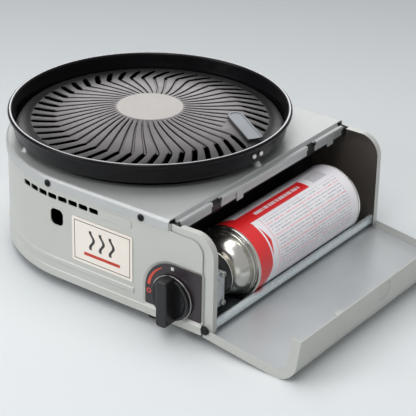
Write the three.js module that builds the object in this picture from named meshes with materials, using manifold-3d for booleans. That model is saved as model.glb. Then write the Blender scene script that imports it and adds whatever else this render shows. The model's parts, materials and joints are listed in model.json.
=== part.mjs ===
// Cassette gas grill: a domed, slotted grill plate over a round water tray, on a body with one round end.
// The gas cartridge lies beside the burner, under a cover that tips down onto the table.
// Millimetres, +Z up, -Y to the front. Pieces are placed from the burner axis and the table, and the whole
// model is then set on the centre of its base.

import * as THREE from 'three';
import { mergeVertices } from 'three/addons/utils/BufferGeometryUtils.js';
import Module from 'manifold-3d';

const wasm = await Module();
wasm.setup();

// Clearances and overruns
const seat = 0.3;
const running = 0.06;
const overrun = 3;
const weld = 0.0001;

// Body: one sheet wall, round at the left end and open at the right
const bodyRadius = 131;
const bodySheet = 1;
const wallBottom = 11.2;
const endDrop = 3.8;
const endCorner = 19.4;
const riseDrop = 3.2;
const riseOffset = 1.1;
const riseRun = 8.6;
const hemHeight = 7;
const hemRelief = 0.7;
const beadLow = 25;
const beadHeight = 6.3;
const beadRelief = 0.8;
const beadRamp = 1.5;
const beadEndGap = 12.2;
const ribEndGap = 14.2;
const ribLength = 34.5;
const ribHeight = 7.6;
const ribRelief = 0.6;

// Recessed margin of the end walls, which the closed cover's flanges lie in
const marginSide = 10.4;
const marginTop = 6.5;
const marginCorner = 12;
const marginDepth = 1.4;
const returnDepth = 6;

// Vents and flame window in the side wall
const ventCount = 8;
const ventLength = 10.2;
const ventHeight = 5;
const ventPitch = 11.7;
const ventGap = 2.5;
const ventDrop = 17.6;
const windowWidth = 14.6;
const windowHeight = 15.6;
const windowCorner = 5;
const windowDrop = 36.6;

// Top plate
const topHeight = 107.2;
const topSheet = 0.9;
const topInset = 7.7;
const topEdge = 3;
const skirtDepth = 9.5;
const wellGap = 1.4;
const wellCollar = 5.2;
const ledgeDrop = 2;
const ledgeWidth = 6.4;
const ledgeRelief = 0.8;
const railInset = 9;
const railDepth = 9.4;
const bumpCount = 3;
const bumpInset = 7.2;
const bumpTurnDegrees = 0.4;
const bumpFoot = 4.6;
const bumpTip = 1.5;
const bumpHeight = 5.6;
const hangerLength = 9;
const hangerDepth = 2.6;
const hangerY = -39;
const hangerInset = 20;

// Catch clips and corner pieces on the rail
const clipY = 71.5;
const clipLength = 12;
const clipWidth = 6;
const clipHeight = 6.6;
const clipNose = 1.8;
const cornerLength = 6.4;
const cornerWidth = 4.6;
const cornerHeight = 8.4;

// Screws of the skirt
const screwHead = 3.3;
const screwHeadHeight = 1.5;
const screwShaft = 1.3;
const screwLength = 5;
const screwInset = 28.7;
const screwTurnDegrees = 3.8;
const screwDrop = 6;

// Floor pan and feet
const panSheet = 0.9;
const panRise = 0.6;
const panInset = 11.8;
const panHem = 2.4;
const troughLeft = 20.5;
const troughRight = 20;
const troughFrontGap = 5.5;
const troughBackGap = 12.7;
const troughDepth = 5.4;
const saddleWidth = 9;
const saddleHeight = 0.5;
const footRadius = 8;
const footEdge = 1.2;
const footShift = 2;
const footInset = 19;
const footLeftInset = 20.4;
const footLeftDegrees = 130.6;

// Partition between the burner and the cartridge, which leans out over the cartridge as a heat shield
const shieldGap = 4.8;
const shieldSheet = 0.9;
const shieldFoot = 12;
const shieldInset = 1.7;
const shieldHole = 5.5;

// Hinge of the cartridge cover
const hingeInset = 6.2;
const hingeRise = 6.3;
const tubeRadius = 3.7;
const tubeBore = 2.4;
const washerRadius = 5;
const washerHeight = 0.7;
const pinRadius = 2;
const pinHead = 4.1;
const pinHeadHeight = 2.4;
const pinDepth = 9;

// Cartridge cover, a sheet bent to an L with flanges at both ends
const coverSheet = 1;
const coverRun = 44.9;
const coverGap = 0.6;
const coverCorner = 20;
const lipGap = 1.8;
const coverSkirt = 1.5;
const coverOpenDegrees = 98;
const flangeWidth = 8.5;
const earRadius = 3.8;
const gripRadius = 10;
const gripDepth = 0.5;
const hookLength = 9;
const hookDepth = 2.8;

// Control: faceplate, knob and spindle
const knobInset = 40;
const knobZ = 37;
const knobRadius = 19.5;
const knobDisc = 5;
const knobBarLength = 43;
const knobBarWidth = 11;
const knobBarHeight = 11.4;
const knobBarEdge = 1.2;
const knobRing = 0.9;
const knobRingHeight = 1.6;
const spindleRadius = 3;
const spindleLength = 14.6;
const plateReach = 30;
const plateRun = 28.6;
const plateDrop = 15.3;
const plateCorner = 1.6;
const plateThickness = 0.9;
const plateRecess = 1.2;
const plateRamp = 2.2;

// Bare name plate on the front
const labelWidth = 67.1;
const labelEndGap = 13.2;
const labelFootGap = 4.8;
const labelHeadGap = 7;
const labelThickness = 0.4;

// Cartridge
const canSideGap = 1;
const canRadius = 33;
const canSeam = 0.7;
const canSeamHeight = 2.6;
const canSheet = 0.8;
const canBackGap = 31.7;
const canNose = 21.2;
const canNeck = 15.5;
const canFlange = 21.6;
const canFlangeSheet = 1.2;
const canNotch = 5;
const canCup = 12;
const canCupHeight = 1.2;
const canStem = 1.9;
const canStemLength = 4.2;
const canHollow = 3.6;

// Regulator behind the knob, with its diaphragm cover to the right
const regulatorInset = 20.8;
const regulatorDrop = 1.3;
const regulatorHalf = 16.9;
const regulatorCorner = 6;
const regulatorLeftRun = 9.2;
const regulatorRightRun = 23.4;
const regulatorNeck = 10.6;
const regulatorInlet = 2.5;
const regulatorOutlet = 5.6;
const outletLength = 4;
const outletDrop = 10.5;
const coverPlate = 2.6;
const coverDome = 13.2;
const coverDomeHeight = 5.4;
const boltInset = 3.5;
const boltHead = 2.7;
const boltHeadHeight = 2.2;
const boltShaft = 1.4;
const boltLength = 7;
const noseGap = 11.6;
const holderRadius = 21.4;
const holderBore = 0.3;
const holderLip = 2.2;
const holderLipDepth = 1.2;

// Igniter, its lead and the spark electrode
const igniterGap = 7.4;
const igniterLength = 12;
const igniterDepth = 24;
const igniterHeight = 15;
const igniterZ = 43;
const leadRadius = 1.1;
const electrodeGap = 7.1;
const electrodeRadius = 2.6;
const electrodeLength = 21;
const electrodeDrop = 23;
const tipRadius = 0.8;
const armSheet = 1.2;
const armWidth = 11;

// Gas pipe, nozzle and mixing tube, which runs to the burner at an angle seen from above
const pipeRadius = 2.6;
const feedDegrees = -45;
const feedDrop = 18;
const mixerGap = 2.3;
const feedRoom = 29.7;
const mixerRadius = 9.5;
const mixerThroat = 6.8;
const mixerMouth = 11;
const mixerSheet = 1.3;
const nozzleRadius = 4.6;
const nozzleLength = 12;
const nozzleGap = 5;

// Burner
const burnerDrop = 24.2;
const bowlRadius = 26;
const bowlDepth = 29;
const bowlFlare = 36.4;
const bowlWall = 2;
const bowlThroat = 12;
const capHeight = 8.6;
const capWall = 2.4;
const capDish = 15.1;
const portCount = 16;
const portWidth = 2.8;
const portHeight = 3.4;
const standHalf = 22;
const standWidth = 26;
const standSheet = 1.2;
const standFoot = 10;

// Water tray
const rimInset = 2.1;
const rimRise = 20.3;
const rimRoll = 2.2;
const traySheet = 1.4;
const trayFlare = 4.7;
const ledgeLength = 14.6;
const trayDrop = 20.8;
const trayLean = 1.8;
const trayCorner = 2;
const trayChimney = 47.4;
const chimneyDrop = 3.1;

// Grill plate
const grillGap = 5;
const grillRise = 18.2;
const discRadius = 30.2;
const slotMargin = 11.2;
const slotLength = 23.4;
const slotCount = 48;
const unslotted = [1, 2];
const slotWidth = 4.4;
const slotEntry = 2.2;
const slotTurnDegrees = -6.8;
const slotPhaseDegrees = 5.6;
const grooveTurnDegrees = -9;
const grooveDepth = 1.5;
const grooveStart = 1.3;
const grillDrop = 9.9;
const grillThickness = 4.2;
const marginFall = 1.9;
const footWidth = 6.4;
const notchGap = 0.5;
const notchDepth = 5.2;
const notchDegrees = 7.6;
const fingerDepth = 9.4;
const bracketDegrees = -3.9;

// Lifting tab on the plate and locating bracket in the tray
const tabWidth = 14.5;
const tabThickness = 2.2;
const tabInset = 0.4;
const tabRun = 29.2;
const tabInnerDegrees = 28.4;
const tabOuterDegrees = 8.3;
const bracketWidth = 13;
const bracketSheet = 1.2;
const bracketHeight = 10;
const bracketReach = 5.4;
const bracketGap = 0.9;
const rivetInset = 2;
const rivetHead = 2.5;
const rivetShaft = 1.3;
const rivetHeight = 1.3;
const rivetStand = 0.4;

// Shares of the sizes that they follow
const grooveRowShares = [0, 0.16, 0.42, 0.7, 1];
const slotRoundShare = 0.09;
const domeCurveShare = 0.95;
const grooveCurveShare = 1.4;
const nozzleHexShare = 0.55;
const rollShare = 1.35;
const shieldKneeShare = -0.05;
const shieldShoulderShare = 0.41;
const pipeBendShare = 1.12;
const leadAcrossShares = [0.72, 0.4, 0.12];
const leadAlongShares = [0.99, 0.86, 0.62];
const seamEdgeShares = [1.6, 3, 3.6, 4.6, 5.2];

// Facets
const endSteps = 14;
const roundSteps = 32;
const middleSteps = 24;
const smallSteps = 10;
const discSteps = 8;
const pinSteps = 16;
const wireSteps = 6;
const leadSteps = 18;
const pipeSteps = 22;
const cornerSteps = 3;
const edgeSteps = 1;
const traySteps = 48;
const rollSteps = 4;
const domeSteps = 4;
const simplified = 0.02;

// Heights that follow from the top plate
const topUnderside = topHeight - topSheet;
const endTop = topHeight - endDrop;
const riseTop = topHeight - riseDrop;
const ventZ = topHeight - ventDrop;
const windowZ = topHeight - windowDrop;
const screwZ = topHeight - screwDrop;
const trayBearing = topHeight + bumpHeight + seat;
const trayFloorZ = trayBearing - trayDrop;
const rimTop = trayBearing + rimRise;
const chimneyTop = trayBearing - chimneyDrop;
const grillTop = trayBearing + grillRise;
const bowlTop = topHeight - burnerDrop;
const bowlBottom = bowlTop - bowlDepth;
const feedZ = bowlTop - feedDrop;
const electrodeZ = bowlTop - electrodeDrop;

// Heights that follow from the wall's lower edge
const panBottom = wallBottom + panRise;
const panTop = panBottom + panSheet;
const troughFloor = panTop - troughDepth;
const saddleTop = troughFloor + saddleHeight;
const shieldBottom = panTop + seat;
const hingeZ = wallBottom + hingeRise;
const canZ = saddleTop + seat + canSeam + canRadius;
const canTop = canZ + canRadius + canSeam;
const regulatorZ = canZ - regulatorDrop;
const outletZ = regulatorZ - outletDrop;
const plateBottom = knobZ - plateDrop;
const labelLow = beadLow + beadHeight + labelFootGap;
const labelTop = ventZ - ribHeight / 2 - labelHeadGap;

// Radii and depths that follow from the body's radius
const wallOuter = bodyRadius - topSheet - seat;
const wallInner = wallOuter - bodySheet;
const marginFace = wallOuter - marginDepth;
const marginBack = marginFace - bodySheet;
const shieldHalf = marginBack - bodySheet;
const railHalf = bodyRadius - railInset;
const rimRadius = bodyRadius - rimInset;
const trayShoulder = rimRadius - trayFlare;
const trayLedgeInner = trayShoulder - ledgeLength;
const wellRadius = trayLedgeInner + wellGap;
const bumpRadius = wellRadius + bumpInset;
const grillRadius = trayShoulder - grillGap;
const slotOuter = grillRadius - slotMargin;
const slotInner = slotOuter - slotLength;
const tabOuterRadius = slotOuter - tabInset;
const tabInnerRadius = tabOuterRadius - tabRun;
const regulatorY = regulatorInset - bodyRadius;
const noseTip = regulatorY + regulatorHalf + noseGap;
const canFront = noseTip + canNose;
const canBack = bodyRadius - canBackGap;
const troughFront = canFront - troughFrontGap;
const troughBack = canBack + troughBackGap;
const footRightY = bodyRadius - footInset;
const footLeft = new THREE.Vector2(bodyRadius - footLeftInset, 0).rotateAround(
  new THREE.Vector2(), THREE.MathUtils.degToRad(footLeftDegrees));

// Places from left to right that follow from the top plate's end, the body's end and the knob
const topEnd = bodyRadius - topInset;
const bodyEnd = topEnd + coverRun;
const knobX = bodyEnd - knobInset;
const plateLeft = knobX - plateReach;
const beadEnd = plateLeft - beadEndGap;
const ribEnd = plateLeft - ribEndGap;
const ribStart = ribEnd - ribLength;
const ventEnd = ribStart - ventGap;
const labelLeft = plateLeft - labelEndGap - labelWidth;
const screwX = topEnd - screwInset;
const riseStart = topEnd + riseOffset;
const riseEnd = riseStart + riseRun;
const panEnd = bodyEnd - panInset;
const hingeX = bodyEnd - hingeInset;
const coverReach = hingeInset + coverGap + coverSheet;
const coverLip = hingeX + coverReach - topEnd - lipGap;
const canX = bodyEnd - canSideGap - canSeam - canRadius;
const troughStart = canX - troughLeft;
const troughEnd = canX + troughRight;
const shieldX = canX - canRadius - canSeam - shieldGap;
const shieldRail = topEnd - shieldInset;
const shieldKnee = canTop + shieldKneeShare * (topUnderside - canTop);
const shieldShoulder = canTop + shieldShoulderShare * (topUnderside - canTop);
const footRightX = shieldX + footShift;
const igniterX = shieldX + igniterGap;
const plateRight = knobX + plateRun;
const regulatorLeft = knobX - regulatorLeftRun;
const regulatorRight = knobX + regulatorRightRun;

// Sizes of small parts that follow from what they fit
const boltCircleHalf = regulatorHalf - boltInset;
const mixerStart = bowlRadius + mixerGap;
const feedTurn = THREE.MathUtils.degToRad(feedDegrees);
const mixerLength = (shieldX - feedRoom) / Math.cos(feedTurn) - mixerStart - nozzleLength;
const electrodeY = -bowlFlare - electrodeGap;
const notchWidth = bracketWidth + 2 * notchGap;
const rivetSpacing = bracketWidth - 2 * rivetInset;
const notchTurn = THREE.MathUtils.degToRad(notchDegrees);
const bracketTurn = THREE.MathUtils.degToRad(bracketDegrees);
const cutFront = -bodyRadius - overrun;
const cutBack = bodyRadius + overrun;
const cutTop = topHeight + overrun;

function finish(color, roughness, metalness) {
  return new THREE.MeshStandardMaterial({ color, roughness, metalness });
}
const paint = finish(0xc6c6bf, 0.4, 0.35);
const galvanised = finish(0x9aa5a8, 0.45, 0.8);
const blackSheet = finish(0x1c1b1b, 0.55, 0.2);
const blackPlastic = finish(0x191a1b, 0.5, 0);
const facePlastic = finish(0x2c2528, 0.4, 0);
const rubber = finish(0x1d1d1d, 0.9, 0);
const steel = finish(0xb9bab7, 0.35, 0.9);
const dieCast = finish(0xa9abad, 0.45, 0.85);
const tinplate = finish(0xc9c8c0, 0.25, 0.95);
const printedCan = finish(0xd9d4dc, 0.35, 0.2);
const brass = finish(0xb6914a, 0.35, 0.9);
const ceramic = finish(0xe9e6de, 0.4, 0);
const enamel = finish(0x2a2b2e, 0.22, 0.1);
const castCoating = finish(0x55555c, 0.5, 0.25);
const cream = finish(0xe6ddd2, 0.6, 0);

// Turns a closed geometry with faces pointing out into a solid that can be joined and cut.
function solid(geometry) {
  const plain = geometry.clone();
  plain.deleteAttribute('normal');
  plain.deleteAttribute('uv');
  const merged = mergeVertices(plain, weld);
  const places = merged.attributes.position.array;
  const index = merged.index.array;
  const corner = (i) => new THREE.Vector3().fromArray(places, index[i] * 3);
  const kept = [];
  let volume = 0;
  for (let i = 0; i < index.length; i += 3) {
    const [a, b, c] = [index[i], index[i + 1], index[i + 2]];
    if (a === b || b === c || c === a) continue;
    kept.push(a, b, c);
    volume += corner(i).dot(corner(i + 1).cross(corner(i + 2)));
  }
  if (volume < 0) kept.reverse();
  const triVerts = new Uint32Array(kept);
  return new wasm.Manifold(new wasm.Mesh({ numProp: 3, vertProperties: new Float32Array(places), triVerts }));
}

// Turns a solid back into a geometry.
function geometryOf(body) {
  const mesh = body.asOriginal().simplify(simplified).getMesh();
  const geometry = new THREE.BufferGeometry();
  geometry.setAttribute('position', new THREE.BufferAttribute(new Float32Array(mesh.vertProperties), 3));
  geometry.setIndex(new THREE.BufferAttribute(new Uint32Array(mesh.triVerts), 1));
  geometry.computeVertexNormals();
  return geometry;
}

function outline(points) {
  return new THREE.Shape(points.map(([x, y]) => new THREE.Vector2(x, y)));
}

function rectangle(left, right, low, high) {
  return outline([[left, low], [right, low], [right, high], [left, high]]);
}

function roundedRectangle(left, right, low, high, corner) {
  const shape = new THREE.Shape();
  shape.absarc(right - corner, low + corner, corner, -Math.PI / 2, 0, false);
  shape.absarc(right - corner, high - corner, corner, 0, Math.PI / 2, false);
  shape.absarc(left + corner, high - corner, corner, Math.PI / 2, Math.PI, false);
  shape.absarc(left + corner, low + corner, corner, Math.PI, Math.PI * 1.5, false);
  shape.closePath();
  return shape;
}

function disc(x, y, radius) {
  return new THREE.Shape().absarc(x, y, radius, 0, Math.PI * 2, false);
}

// The body's plan: a half circle at the left, straight sides to the right end.
function roundEnded(radius, end) {
  const shape = new THREE.Shape();
  shape.moveTo(end, -radius);
  shape.lineTo(end, radius);
  shape.absarc(0, 0, radius, Math.PI / 2, Math.PI * 1.5, false);
  shape.closePath();
  return shape;
}

// A sheet of one thickness that follows an open line, on the left of its direction.
function strip(points, thickness) {
  const line = points.map(([x, y]) => new THREE.Vector2(x, y));
  const normals = line.slice(1).map((p, i) => {
    const along = p.clone().sub(line[i]).normalize();
    return new THREE.Vector2(-along.y, along.x);
  });
  const shifted = line.map((p, i) => {
    const before = normals[Math.max(i - 1, 0)];
    const after = normals[Math.min(i, normals.length - 1)];
    const mitre = before.clone().add(after);
    return p.clone().addScaledVector(mitre, (2 * thickness) / mitre.lengthSq());
  });
  return new THREE.Shape([...line, ...shifted.reverse()]);
}

function extruded(shape, depth, curveSegments, bevel = {}) {
  return new THREE.ExtrudeGeometry(shape, { depth, curveSegments, bevelEnabled: false, ...bevel });
}

// Extrusions of a plan upwards, of an elevation from front to back, and of a cross-section to the right.
function plan(shape, low, high, steps = cornerSteps) {
  return extruded(shape, high - low, steps).translate(0, 0, low);
}

function elevation(shape, front, back, steps = cornerSteps) {
  return extruded(shape, back - front, steps).rotateX(Math.PI / 2).translate(0, back, 0);
}

function crossSection(shape, left, right, steps = cornerSteps) {
  const turn = new THREE.Matrix4().makeBasis(
    new THREE.Vector3(0, 1, 0), new THREE.Vector3(0, 0, 1), new THREE.Vector3(1, 0, 0));
  return extruded(shape, right - left, steps).applyMatrix4(turn).translate(left, 0, 0);
}

// A plan with sloped or rounded edges, grown by the edge size at its middle.
function edgedPlan(shape, low, high, size, rise, steps, roundings) {
  const bevel = { bevelEnabled: true, bevelSize: size, bevelThickness: rise, bevelSegments: roundings };
  return extruded(shape, high - low - 2 * rise, steps, bevel).translate(0, 0, low + rise);
}

// Turned forms about an upright, a front-to-back and a sideways axis. Profile points are [radius, place].
function upright(profile, steps = roundSteps) {
  const points = profile.map(([r, h]) => new THREE.Vector2(r, h));
  return new THREE.LatheGeometry(points, steps).rotateX(Math.PI / 2);
}

function frontToBack(profile, steps = roundSteps) {
  return new THREE.LatheGeometry(profile.map(([r, h]) => new THREE.Vector2(r, h)), steps);
}

function sideways(profile, steps = roundSteps) {
  return frontToBack(profile, steps).rotateZ(-Math.PI / 2);
}

function ringProfile(inner, outer, low, high) {
  return [[inner, low], [outer, low], [outer, high], [inner, high], [inner, low]];
}

function rodProfile(radius, low, high) {
  return [[0, low], [radius, low], [radius, high], [0, high]];
}

// A round wire or pipe through the given places.
function wire(places, radius, steps) {
  const path = new THREE.CatmullRomCurve3(places.map(([x, y, z]) => new THREE.Vector3(x, y, z)));
  const section = new THREE.Shape(disc(0, 0, radius).getPoints(wireSteps / 2).slice(1));
  return new THREE.ExtrudeGeometry(section, { steps, extrudePath: path, bevelEnabled: false });
}

// The same piece on the front and on the back wall.
function onBothWalls(shape, inner, outer, steps = cornerSteps) {
  return solid(elevation(shape, -outer, -inner, steps)).add(solid(elevation(shape, inner, outer, steps)));
}

function joined(bodies) {
  return bodies.reduce((sum, body) => sum.add(body));
}

const grill = new THREE.Group();
const bodyGroup = new THREE.Group();
const coverGroup = new THREE.Group();
const knobGroup = new THREE.Group();
const cartridgeGroup = new THREE.Group();
const trayGroup = new THREE.Group();
const plateGroup = new THREE.Group();
grill.add(bodyGroup, coverGroup, knobGroup, cartridgeGroup, trayGroup);
trayGroup.add(plateGroup);
cartridgeGroup.position.set(canX, 0, canZ);
knobGroup.position.set(knobX, -wallOuter - hemRelief - seat, knobZ);
coverGroup.position.set(hingeX, 0, hingeZ);
coverGroup.rotation.y = THREE.MathUtils.degToRad(coverOpenDegrees);

function addPart(group, name, shape, material) {
  const mesh = new THREE.Mesh(geometryOf(shape.isBufferGeometry ? solid(shape) : shape), material);
  mesh.name = name;
  group.add(mesh);
  return mesh;
}

// Elevation of the wall. Its lower right corner is round about the hinge, so that the cover passes it.
function wallElevation() {
  const shape = new THREE.Shape();
  shape.moveTo(cutFront, wallBottom);
  shape.lineTo(hingeX, wallBottom);
  shape.absarc(hingeX, wallBottom + hingeInset, hingeInset, -Math.PI / 2, 0, false);
  shape.absarc(bodyEnd - endCorner, endTop - endCorner, endCorner, 0, Math.PI / 2, false);
  shape.lineTo(riseEnd, endTop);
  shape.lineTo(riseStart, riseTop);
  shape.lineTo(cutFront, riseTop);
  shape.closePath();
  return shape;
}

// The same elevation less a margin along its right and top edges, open at its lower end.
function insetElevation(side, top, corner) {
  const right = bodyEnd - side;
  const high = endTop - top;
  const shape = new THREE.Shape();
  shape.moveTo(cutFront, wallBottom - overrun);
  shape.lineTo(right, wallBottom - overrun);
  shape.absarc(right - corner, high - corner, corner, 0, Math.PI / 2, false);
  shape.lineTo(riseEnd, high);
  shape.lineTo(riseStart, riseTop - top);
  shape.lineTo(riseStart, cutTop);
  shape.lineTo(cutFront, cutTop);
  shape.closePath();
  return shape;
}

// Outline of the control's faceplate, concentric with the knob at its upper left.
function faceOutline(grow) {
  const left = plateLeft - grow;
  const right = plateRight + grow;
  const low = plateBottom - grow;
  const high = knobZ + plateReach + grow;
  const corner = plateCorner + grow;
  const shape = new THREE.Shape();
  shape.absarc(left + corner, low + corner, corner, Math.PI, Math.PI * 1.5, false);
  shape.absarc(right - corner, low + corner, corner, -Math.PI / 2, 0, false);
  shape.absarc(right - corner, high - corner, corner, 0, Math.PI / 2, false);
  shape.absarc(knobX, knobZ, plateReach + grow, Math.PI / 2, Math.PI, false);
  shape.closePath();
  return shape;
}

// Places round the side wall, as a distance from the front of the burner axis to the right.
function onWall(geometry, distance) {
  if (distance >= 0) return geometry.translate(distance, 0, 0);
  return geometry.rotateZ(distance / wallOuter);
}

function ventCutter(distance) {
  const half = ventLength / 2;
  const slot = roundedRectangle(-half, half, ventZ - ventHeight / 2, ventZ + ventHeight / 2, ventHeight / 3);
  return solid(onWall(elevation(slot, cutFront, -wallInner + overrun, edgeSteps), distance));
}

// Skirt screws: two at the front and two at the back, as [distance along the wall, side].
const screwSpots = [
  ['front_left', 1, false], ['front_right', 1, true], ['back_left', -1, false], ['back_right', -1, true]];

function placeScrew(geometry, side, straight) {
  if (straight) geometry.translate(screwX, 0, 0);
  else geometry.rotateZ(-THREE.MathUtils.degToRad(screwTurnDegrees));
  return side > 0 ? geometry : geometry.rotateX(Math.PI).translate(0, 0, 2 * screwZ);
}

function screwAxis(profile, steps) {
  return frontToBack(profile, steps).translate(0, 0, screwZ);
}

function screwHoles() {
  const profile = rodProfile(screwShaft + seat, cutFront, -wallInner + overrun);
  const hole = ([, side, straight]) => solid(placeScrew(screwAxis(profile, smallSteps), side, straight));
  return joined(screwSpots.map(hole));
}

// The plain wall with its hem, bead and short ribs.
function plainWall() {
  const tall = solid(plan(roundEnded(wallOuter, bodyEnd), wallBottom, riseTop, endSteps));
  const hemPlan = roundEnded(wallOuter + hemRelief, bodyEnd);
  const hem = solid(plan(hemPlan, wallBottom, wallBottom + hemHeight, endSteps));
  const beadTop = beadLow + beadHeight;
  const beadPlan = roundEnded(wallOuter, bodyEnd);
  const bead = solid(edgedPlan(beadPlan, beadLow, beadTop, beadRelief, beadRamp, endSteps, 1));
  const beadReach = rectangle(cutFront, beadEnd, 0, topHeight);
  const beadPart = bead.intersect(solid(elevation(beadReach, cutFront, cutBack)));
  const ribLow = ventZ - ribHeight / 2;
  const rib = roundedRectangle(ribStart, ribEnd, ribLow, ribLow + ribHeight, ribHeight / 3);
  const ribs = onBothWalls(rib, wallInner, wallOuter + ribRelief, cornerSteps);
  const inside = solid(plan(roundEnded(wallInner, bodyEnd + overrun), 0, cutTop, endSteps));
  const shell = joined([tall, hem, beadPart, ribs]).subtract(inside);
  return shell.intersect(solid(elevation(wallElevation(), cutFront, cutBack)));
}

// Sinks the margin of both end walls and turns their edge in.
function withMargins(shell) {
  const full = (inner, outer) => onBothWalls(wallElevation(), inner, outer);
  const kept = (grow, inner, outer) => onBothWalls(
    insetElevation(marginSide + grow, marginTop + grow, marginCorner), inner - overrun, outer + overrun);
  const backing = full(marginBack, wallInner).subtract(kept(bodySheet, marginBack, wallInner));
  const sunk = full(marginFace, cutBack).subtract(kept(0, marginFace, cutBack));
  const lowerSide = rectangle(bodyEnd - marginSide, bodyEnd + overrun, 0, endTop - endCorner);
  const lowerSunk = onBothWalls(lowerSide, marginFace, cutBack);
  const returnInner = marginFace - returnDepth;
  const lessSheet = insetElevation(bodySheet, bodySheet, endCorner - bodySheet);
  const leftPart = rectangle(cutFront, riseEnd, 0, cutTop);
  const returnEdge = full(returnInner, marginBack + bodySheet / 2)
    .subtract(onBothWalls(lessSheet, returnInner - overrun, wallOuter))
    .subtract(onBothWalls(leftPart, returnInner - overrun, wallOuter));
  return shell.add(backing).subtract(sunk).subtract(lowerSunk).add(returnEdge);
}

// Presses the recess of the control's face into the front wall, with a sloped edge.
function withDish(shell) {
  const faceFloor = wallOuter - plateRecess;
  const slope = { bevelEnabled: true, bevelSize: plateRamp, bevelThickness: plateRecess, bevelSegments: 1 };
  const form = extruded(faceOutline(seat), overrun, cornerSteps, slope).rotateX(Math.PI / 2);
  const dish = (start) => solid(form.clone().translate(0, start - plateRecess, 0));
  const inner = solid(elevation(rectangle(0, bodyEnd, 0, topHeight), -wallOuter, -faceFloor + bodySheet));
  return shell.add(dish(-faceFloor + bodySheet).intersect(inner)).subtract(dish(-faceFloor));
}

function bodyShell() {
  let shell = withDish(withMargins(plainWall()));
  const spindleHole = disc(knobX, knobZ, spindleRadius + 2 * seat);
  shell = shell.subtract(solid(elevation(spindleHole, cutFront, -wallInner + overrun, discSteps)));
  const pinHole = disc(hingeX, hingeZ, pinRadius + seat);
  shell = shell.subtract(onBothWalls(pinHole, marginBack - overrun, wallOuter + overrun, discSteps));
  for (let i = 0; i < ventCount; i++) {
    const vent = ventCutter(ventEnd - ventLength / 2 - i * ventPitch);
    const opposite = solid(geometryOf(vent).rotateX(Math.PI).translate(0, 0, 2 * ventZ));
    shell = shell.subtract(vent).subtract(opposite);
  }
  const half = windowWidth / 2;
  const windowLow = windowZ - windowHeight / 2;
  const windowShape = roundedRectangle(-half, half, windowLow, windowLow + windowHeight, windowCorner);
  shell = shell.subtract(solid(elevation(windowShape, cutFront, -wallInner + overrun, cornerSteps)));
  return shell.subtract(screwHoles());
}

// Stands at the clips and hangers along the rail, as places along Y.
const clipPlaces = [-clipY, clipY];
const hangerPlaces = [hangerY, railHalf - hangerInset];

// Rail at the top plate's right end, with hangers under it and notches for the catch clips.
function topRail() {
  const ledgeTop = topHeight - ledgeDrop;
  const ledgeEnd = topEnd + ledgeWidth;
  const railLow = ledgeTop - railDepth;
  const line = [
    [ledgeEnd, railLow], [ledgeEnd, ledgeTop], [topEnd + ledgeRelief, ledgeTop], [topEnd, topHeight],
    [topEnd - 2 * ledgeRelief, topHeight]];
  let rail = solid(elevation(strip(line, topSheet), -railHalf, railHalf));
  for (const y of hangerPlaces) {
    const hanger = rectangle(ledgeEnd - topSheet, ledgeEnd, railLow - hangerDepth, ledgeTop - topSheet);
    rail = rail.add(solid(elevation(hanger, y - hangerLength / 2, y + hangerLength / 2)));
  }
  const half = clipLength / 2 + 3 * seat;
  const notch = rectangle(topEnd + ledgeRelief + seat, ledgeEnd + overrun, railLow - overrun, cutTop);
  for (const y of clipPlaces) rail = rail.subtract(solid(elevation(notch, y - half, y + half)));
  return rail;
}

// Presses the supports of the tray into the sheet.
function withBumps(sheet) {
  const top = topHeight + bumpHeight;
  const foot = bumpFoot - topSheet;
  const cone = [[0, topUnderside], [bumpFoot, topUnderside], [bumpFoot, topHeight], [bumpTip, top], [0, top]];
  const hollow = [
    [0, topUnderside - overrun], [foot, topUnderside - overrun], [foot, topUnderside],
    [bumpTip - topSheet / 2, top - topSheet], [0, top - topSheet]];
  let plate = sheet;
  for (let i = 0; i < bumpCount; i++) {
    const turn = (i * Math.PI * 2) / bumpCount + THREE.MathUtils.degToRad(bumpTurnDegrees);
    const place = (geometry) => solid(geometry.translate(bumpRadius, 0, 0).rotateZ(turn));
    plate = plate.add(place(upright(cone, smallSteps))).subtract(place(upright(hollow, smallSteps)));
  }
  return plate;
}

function topPlate() {
  const low = topHeight - skirtDepth;
  const shape = roundEnded(bodyRadius - topEdge, bodyEnd);
  const longer = roundEnded(bodyRadius - topEdge, bodyEnd + overrun);
  const inner = topEdge - topSheet;
  const outside = solid(edgedPlan(shape, low - 2 * topEdge, topHeight, topEdge, topEdge, endSteps, 2));
  const inside = solid(edgedPlan(longer, low - 3 * topEdge, topUnderside, inner, inner, endSteps, 2));
  const reach = solid(elevation(rectangle(cutFront, topEnd, low, cutTop), cutFront, cutBack));
  let plate = outside.subtract(inside).intersect(reach).add(topRail());
  const well = solid(upright(rodProfile(wellRadius, low - overrun, cutTop), roundSteps));
  const collarProfile = ringProfile(
    wellRadius, wellRadius + topSheet, topHeight - wellCollar, topUnderside + topSheet / 2);
  plate = plate.subtract(well).add(solid(upright(collarProfile, roundSteps)));
  return withBumps(plate).subtract(screwHoles());
}

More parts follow.
